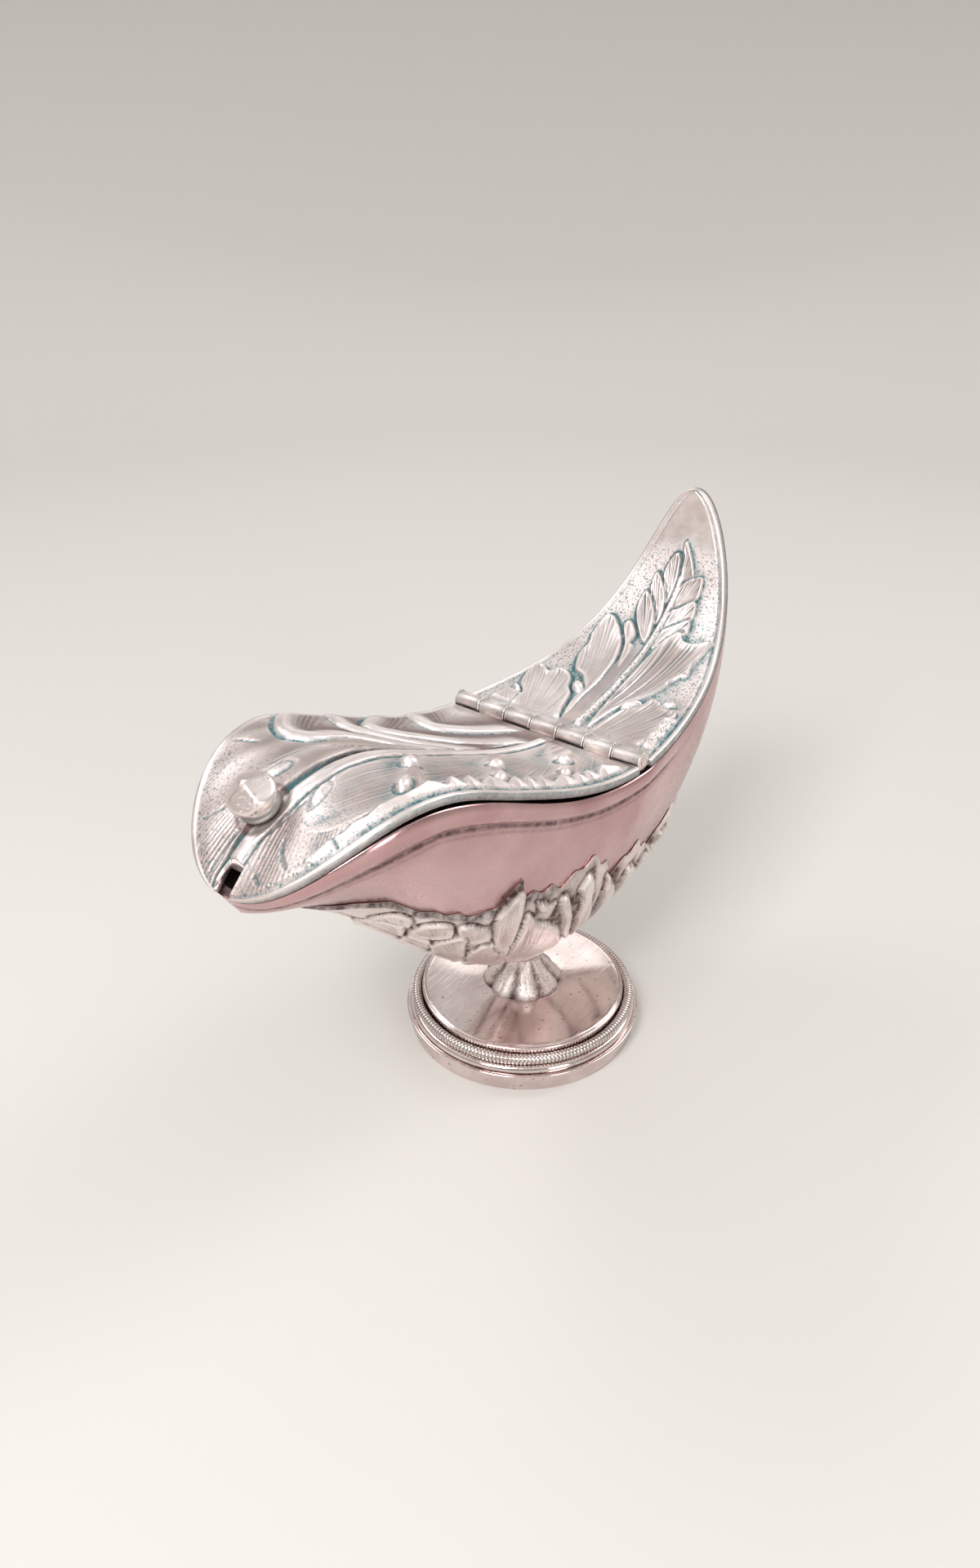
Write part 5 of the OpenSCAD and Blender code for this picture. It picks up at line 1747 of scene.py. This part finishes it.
@dataclass
class Foot:
    """Turned foot in steps with a milled wire, and the petalled neck on it."""

    edge_r: float = 32.5
    base_r: float = 31.5
    edge_z: float = 5.4
    ledge_z: float = 7.35
    wall_r: float = 28.05
    plate_r: float = 27.8
    rim_z: float = 11.5
    top_z: float = 12.6
    cast_t: float = 1.9
    base_t: float = 2.1
    skirt_r: float = 11.0
    foot_turns: int = 256
    hollow_points: int = 4
    bead: Triple = (29.6, 8.9, 1.5)
    tooth_mm: float = 1.0
    tooth_deep: float = 0.08
    tooth_steps: int = 6
    bead_steps: int = 20
    neck_top_r: float = 5.8
    neck_z: Pair = (12.65, 24.3)
    neck_turns: int = 320
    neck_rings: int = 60
    neck_waist: float = 0.9
    neck_line: float = 0.78
    petals: int = 8
    cleft_deep: float = 0.1
    cleft_full: float = 0.07

    def profile(self) -> Array:
        """Closed outline of the foot: base band, sharp edge, cove, ledge, wall, domed plate, hollow.

        Returns:
            Points (r, z); the last few run through the hollow underneath.
        """
        k = np.linspace(0, 1, 28)
        dome = np.stack([mix(self.plate_r - 0.9, self.skirt_r, k),
                         self.rim_z + (self.top_z - self.rim_z) * k**2], -1)
        line, t, inner_r = self.plate_r, self.cast_t, self.base_r - self.base_t
        return np.concatenate([
            [[self.base_r - 0.45, 0.0], [self.base_r - 0.12, 0.1], [self.base_r, 0.45], [self.base_r, 3.9]],
            arc((self.base_r + 0.5, 4.1), 0.5, 180, 110, 4),
            arc((self.edge_r - 0.3, self.edge_z - 0.3), 0.3, -80, 90, 8),
            [[self.edge_r - 0.75, self.edge_z + 0.02], [self.edge_r - 0.8, self.edge_z - 0.25],
             [self.edge_r - 1.05, self.edge_z - 0.25], [self.edge_r - 1.1, self.edge_z + 0.2]],
            arc((self.edge_r - 2.6, self.edge_z + 0.35), 1.5, 5, 85, 8),
            [[self.wall_r, self.ledge_z], [self.wall_r, self.rim_z - 1.3]],
            arc((self.wall_r - 0.45, self.rim_z - 0.9), 0.45, 0, 90, 5),
            [[line - 0.45, self.rim_z - 0.42], [line - 0.2, self.rim_z - 0.35]],
            arc((line - 0.25, self.rim_z - 0.18), 0.2, -60, 110, 6),
            [[line - 0.6, self.rim_z - 0.12], [line - 0.75, self.rim_z - 0.02]],
            dome,
            [[ROD_BORE_R, self.top_z], [ROD_BORE_R, self.top_z - t], [self.skirt_r, self.top_z - t],
             [self.plate_r - t, self.rim_z - t], [self.wall_r - t, self.ledge_z - t],
             [inner_r, self.edge_z - t], [inner_r, 0.0]]])

    def foot(self) -> bpy.types.Object:
        """Turns the foot; it is darker in the corner by the ledge and in the hollow underneath.

        Returns:
            The foot.
        """
        profile = self.profile()
        surface = lathe(profile, self.foot_turns)
        dark = 0.5 * hill(np.hypot(profile[:, 0] - self.wall_r, profile[:, 1] - self.ledge_z), 2.2)
        dark[-self.hollow_points:] += 0.35
        surface.values = {"recess": np.tile(dark, self.foot_turns)}
        return surface.build("foot_turned", 32)

    def ring(self) -> bpy.types.Object:
        """Milled wire: a ring whose round section shrinks in each tooth's gap.

        Returns:
            The wire.
        """
        r, z, half = self.bead
        teeth = int(round(2 * np.pi * r / self.tooth_mm))
        a = full_turn(teeth * self.tooth_steps)
        b = full_turn(self.bead_steps).T
        gap = (0.5 - 0.5 * np.cos(teeth * a)) ** 2
        rho = half * (1 - self.tooth_deep - self.tooth_deep * gap)
        surface = Surface.from_grid(round_axis(r + rho * np.cos(b), z + rho * np.sin(b), a), True, True)
        surface.values = {"recess": np.repeat(0.75 * gap, self.bead_steps)}
        return surface.build("milled_wire")

    def neck(self) -> bpy.types.Object:
        """Waisted neck: radius falls from skirt to waist, petals part the skirt and die out upwards.

        Returns:
            The neck.
        """
        z0, z1 = self.neck_z
        k = np.linspace(0, 1, self.neck_rings)[None, :]
        a = full_turn(self.neck_turns)
        flare = mix(self.skirt_r, self.neck_top_r, ease(k, 0, 0.75)) - self.neck_waist * np.sin(np.pi * k)
        wave = np.abs(np.cos(self.petals * a / 2))
        cleft = self.cleft_deep * (1 - ease(k, 0.35, 0.95)) * (1 - wave) ** 1.5
        vein = 0.012 * hill(wave - 1, 0.02) * (1 - ease(k, 0.3, 0.7))
        bands = 0.02 * hill(k - 0.86, 0.05) - 0.03 * hill(k - self.neck_line, 0.04)
        outer = round_axis(flare * (1 - cleft - vein + bands), mix(z0, z1, k), a)
        bore = round_axis(ROD_BORE_R, np.array([[z1, z0]]), a)
        surface = Surface.from_grid(np.concatenate([outer, bore], 1), True, True)
        recess = 0.8 * np.clip(cleft / self.cleft_full, 0, 1) + 0.5 * hill(k - self.neck_line, 0.05)
        # Dirt with painted shade round the neck's foot, where it meets the plate
        shade_and_dirt = np.broadcast_to(0.5 * hill(k, 0.12), recess.shape)
        surface.values = with_back({"recess": (recess, 0.0), "grain": (np.full(recess.shape, 0.55), 0.0),
                                    "dirt_and_shade": (shade_and_dirt, 0.0)}, bore.shape[1])
        return surface.build("petal_neck", 50)

    def make(self, turned: bpy.types.Material, rubbed: bpy.types.Material) -> List[bpy.types.Object]:
        """Builds and dresses foot, wire and neck.

        Args:
            turned: finish of foot and wire.
            rubbed: finish of the neck.

        Returns:
            The three pieces.
        """
        return [dress(self.foot(), turned, Body.BOAT, Slot.POLISHED, "foot"),
                dress(self.ring(), turned, Body.BOAT, Slot.POLISHED, "milled_ring"),
                dress(self.neck(), rubbed, Body.BOAT, Slot.CAST, "neck")]


@dataclass
class Knob:
    """Bud on the lid: a collar, a waist and a bud of leaning facets with rounded edges."""

    lines: BoatLines
    seat: float = 3.05
    radius: float = 5.2
    height: float = 8.0
    bore_r: float = 1.5
    hole: float = 4.9
    turns: int = 192
    rings: int = 70
    facet_deg: Tuple[float, ...] = (25, 115, 205, 295)
    facet_rise: float = 44.0
    facet_away: float = 0.8
    softness: float = 26.0

    def bud(self, a: Array, e: Array) -> Array:
        """Radius of the bud, as a share of a ball's.

        Each facet is a plane at a distance from the ball's middle; the nearest plane counts, blended
        by a high power so that edges are round.

        Args:
            a: azimuths.
            e: elevations.

        Returns:
            The shares.
        """
        el = np.radians(self.facet_rise)
        total = np.ones(np.broadcast(a, e).shape)
        for azimuth in np.radians(self.facet_deg):
            cosine = np.cos(e) * np.cos(el) * np.cos(a - azimuth) + np.sin(e) * np.sin(el)
            total = total + (np.maximum(cosine, 0) / self.facet_away) ** self.softness
        return total ** (-1 / self.softness)

    def surface(self) -> Surface:
        """Bud over its collar, standing on the XY plane, with the screw's blind hole underneath.

        Returns:
            The closed surface, dark at the collar.
        """
        a = full_turn(self.turns)
        e = np.radians(np.linspace(-46, 89, self.rings))[None, :]
        share = self.bud(a, e)
        r = self.radius * np.cos(e) * share * np.where(e < 0, 1.0, np.cos(e / 5))
        z = 0.52 * self.height + 0.46 * self.height * np.sin(e) * share
        low = np.array([[self.bore_r, 0.0], [0.80 * self.radius, 0.0], [0.86 * self.radius, 0.2],
                        [0.86 * self.radius, 0.7], [0.72 * self.radius, 1.1]])
        post = np.array([[1e-3, float(z[:, -1].mean())], [1e-3, self.hole], [self.bore_r, self.hole]])
        rings = [round_axis(*low.T, a), round_axis(r, z, a), round_axis(*post.T, a)]
        surface = Surface.from_grid(np.concatenate(rings, 1), True, True)
        dark = np.r_[np.full(len(low), 0.6), np.zeros(self.rings + len(post))]
        surface.values = {"recess": np.tile(dark, self.turns)}
        return surface

    def make(self, metal: bpy.types.Material) -> bpy.types.Object:
        """Stands the bud on the lid along the lid's normal, and dresses it.

        Args:
            metal: its finish.

        Returns:
            The knob.
        """
        along, across = KNOB_AT
        t = self.lines.stations(np.array(along), -1.0)
        p, n = self.lines.sheer(t), BoatLines.left_of(self.lines.sheer, t)
        up = np.array([n[0], 0.0, n[1]])
        turn = np.stack([np.array([n[1], 0.0, -n[0]]), np.array([0.0, 1.0, 0.0]), up], 1)
        place = np.array([p[0], across, p[1]]) + self.seat * up
        obj = self.surface().moved(turn, place).build("bud_knob", 60)
        return dress(obj, metal, Body.LID, Slot.POLISHED, "knob")


@dataclass
class Hinge:
    """Seven knuckles on one axis, each with a wire ring at both ends and a strap to its plate."""

    axis: Pair = (8.7, 87.0)
    length: float = 57.8
    count: int = 7
    gap: float = 0.25
    radius: float = 2.1
    bore_r: float = 1.15
    ring: float = 0.22
    turns: int = 64
    strap: Triple = (0.3, 2.6, -1.9)
    strap_t: float = 1.0
    strap_inset: float = 0.15

    def tube(self, half: float) -> Surface:
        """Tube with two half-round wires, turned on the axis.

        Args:
            half: half its length.

        Returns:
            The tube along Y, dark beside the wires.
        """
        wire = arc((self.radius, half - self.ring), self.ring, -85, 90, 9)
        flat = half - 2.4 * self.ring
        barrel = [[self.radius, -flat], [self.radius, 0.0], [self.radius, flat]]
        profile = np.concatenate([[[self.bore_r, -half]], wire[::-1] * [1, -1], barrel, wire,
                                  [[self.bore_r, half]]])
        tube = lathe(profile, self.turns)
        beside = np.abs(np.abs(profile[:, 1]) - (half - 2.1 * self.ring)) < 0.2
        tube.values = {"recess": np.tile(0.5 * beside, self.turns)}
        return tube.moved(np.array([[1, 0, 0], [0, 0, 1], [0, -1, 0]]), np.zeros(3))

    def knuckle(self, k: int) -> Surface:
        """One knuckle: a tube and a strap, to the stern for even numbers and to the bow for odd ones.

        Args:
            k: number of the knuckle, from the left.

        Returns:
            The knuckle in its place.
        """
        pitch = self.length / self.count
        half = (pitch - self.gap) / 2
        x0, x1, z0 = self.strap
        side = 1 if k % 2 == 0 else -1
        corner = np.array([[x0, z0], [x1, z0], [x1, z0 + self.strap_t], [x0, z0 + self.strap_t]])
        ends_y = (self.strap_inset - half, half - self.strap_inset)
        grid = np.stack([np.stack([corner[:, 0] * side, np.full(4, y), corner[:, 1]], -1) for y in ends_y])
        strap = Surface.from_grid(grid, wrap_cols=True, flip=side < 0)
        ends = np.array([[0, 1, 2, 3], [7, 6, 5, 4]])
        strap.faces.append(ends[:, ::-1] if side > 0 else ends)
        place = np.array([self.axis[0], self.length / 2 - (k + 0.5) * pitch, self.axis[1]])
        return self.tube(half).joined(strap).moved(np.eye(3), place)

    def make(self, metal: bpy.types.Material) -> List[bpy.types.Object]:
        """Builds and dresses all knuckles, by turns the deck's and the lid's.

        Args:
            metal: their finish.

        Returns:
            The knuckles.
        """
        out = []
        for k in range(self.count):
            body, owner = (Body.BOAT, "deck") if k % 2 == 0 else (Body.LID, "lid")
            node = f"{owner}_knuckle_{k // 2 + 1}"
            obj = self.knuckle(k).build(f"{node}_tube", 35)
            out.append(dress(obj, metal, body, Slot.POLISHED, node))
        return out


# Stage


@dataclass(frozen=True)
class Studio:
    """Pale floor, soft lamps in a room with dim walls, and the camera at the photograph's place."""

    eye: Triple = (-0.2092, -0.1548, 0.2229)
    right: Triple = (0.6225, -0.7826, 0.0)
    ahead: Triple = (0.6797, 0.5407, -0.4956)
    focal_px: float = 1442.0
    picture_px_tall: float = 1920.0
    sensor_mm: float = 36.0
    ceiling: str = "#f4f1ee"
    wall: str = "#6f6a66"
    glow: float = 0.8
    floor_r: float = 2400.0
    sweep: Pair = (700.0, 2300.0)
    rise: float = 1700.0
    floor_rings: int = 40
    floor_turns: int = 96
    aim: Triple = (-0.01, 0.0, 0.07)
    # Name, place and size in metres, and power in watts
    lamps: Tuple[Tuple[str, Triple, Pair, float], ...] = (
        ("key", (-0.62, -0.12, 0.72), (0.32, 0.32), 6.2),
        ("strip", (0.6, -0.32, 0.7), (0.3, 0.6), 2.2),
        ("rim", (-0.1, 0.7, 0.75), (0.5, 0.25), 1.8),
        ("back", (0.62, 0.47, 0.42), (0.5, 0.3), 0.5),
        ("front", (-0.3, -0.85, 0.36), (0.25, 0.4), 1.6))

    def camera(self) -> None:
        """Makes the camera from its eye point and axes; the lens is focal length over picture height."""
        data = bpy.data.cameras.new("photo_camera")
        data.sensor_fit = "VERTICAL"
        data.sensor_height = self.sensor_mm
        data.lens = self.focal_px / self.picture_px_tall * self.sensor_mm
        data.clip_start = 0.01
        obj = bpy.data.objects.new("photo_camera", data)
        right = Vector(self.right).normalized()
        back = -Vector(self.ahead).normalized()
        up = back.cross(right).normalized()
        right = up.cross(back).normalized()
        turn = Matrix((right, up, back)).transposed()
        obj.matrix_world = Matrix.Translation(Vector(self.eye)) @ turn.to_4x4()
        bpy.context.scene.collection.objects.link(obj)
        bpy.context.scene.camera = obj

    def floor(self) -> None:
        """Round floor that sweeps up at its rim into a low backdrop: height = rise * ease(radius)."""
        r = np.linspace(0.05, 1, self.floor_rings)[None, :] * self.floor_r
        grid = round_axis(r, self.rise * ease(r, *self.sweep), full_turn(self.floor_turns))
        surface = Surface.from_grid(grid, wrap_rows=True)
        surface.faces.append(self.floor_rings * np.arange(self.floor_turns)[None, :])
        floor = surface.build("floor")
        coat(floor, PaintedFloor().make())

    def lamp(self, name: str, at: Triple, size: Pair, watts: float) -> None:
        """Adds one soft rectangular lamp that points at the boat.

        Args:
            name: its name.
            at: its place in metres.
            size: its width and height in metres.
            watts: its power.
        """
        data = bpy.data.lights.new(name, "AREA")
        data.shape, data.size, data.size_y, data.energy = "RECTANGLE", size[0], size[1], watts
        obj = bpy.data.objects.new(name, data)
        obj.location = at
        way = Vector(self.aim) - Vector(at)
        obj.rotation_euler = way.to_track_quat("-Z", "Y").to_euler()
        obj.visible_camera = False
        bpy.context.scene.collection.objects.link(obj)

    def light(self) -> None:
        """Key from the upper left, strip from the right, weak lamps before and behind, dim walls."""
        for lamp in self.lamps:
            self.lamp(*lamp)
        world = bpy.data.worlds.new("room")
        bpy.context.scene.world = world
        world.use_nodes = True
        tree = world.node_tree
        tree.nodes.clear()
        way = add(tree, "ShaderNodeTexCoord").outputs["Generated"]
        height = add(tree, "ShaderNodeSeparateXYZ", {0: way}).outputs["Z"]
        rise = add(tree, "ShaderNodeMapRange",
                   {"Value": height, "From Min": 0.1, "From Max": 0.8}, interpolation_type="SMOOTHSTEP")
        room = add(tree, "ShaderNodeMix",
                   {0: rise.outputs[0], 6: linear(self.wall), 7: linear(self.ceiling)}, data_type="RGBA")
        glow = add(tree, "ShaderNodeBackground", {"Color": room.outputs[2], "Strength": self.glow})
        add(tree, "ShaderNodeOutputWorld", {"Surface": glow.outputs[0]})


def main() -> None:
    """Builds every piece in order, reports it, and sets the stage."""
    logging.basicConfig(level=logging.INFO, format="%(message)s")
    bpy.context.scene.view_settings.view_transform = "Standard"
    lines = BoatLines()
    studio = Studio()
    studio.camera()
    cast, turned, brass = CastSilver().make(), TurnedSilver().make(), PlainBrass().make()
    # The bowl's colours are pale silver with a painted pink reflection of red surroundings
    smooth = CastSilver("silvered_brass_painted_pink_reflection", light="#d8b6b6", shade="#ba9092", roughness=0.2,
                        blotch_mm=30.0, grit_least=0.01).make()
    rubbed = CastSilver("silvered_rubbed_brass", light="#f6edea", shade="#e4d4d1", tarnish="#5a4139",
                        roughness=0.34).make()
    filed = TurnedSilver("silvered_filed_brass", light="#f4ebe8", shade="#e2d5d2", roughness=0.34).make()
    pieces = [Hull(lines).make(smooth), LeafCalyx(lines).make(rubbed), SternDeck(lines).make(cast),
              Lid(lines).make(cast), Knob(lines).make(filed), *Foot().make(turned, rubbed),
              *Hinge().make(filed)]
    for obj in pieces:
        LOG.info("%s: %d faces", obj.name, len(obj.data.polygons))
    coat(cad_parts["hinge_pin"], turned)
    for name in BARE_FIXINGS:
        coat(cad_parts[name], brass)
    studio.floor()
    studio.light()


if __name__ == "__main__":
    main()
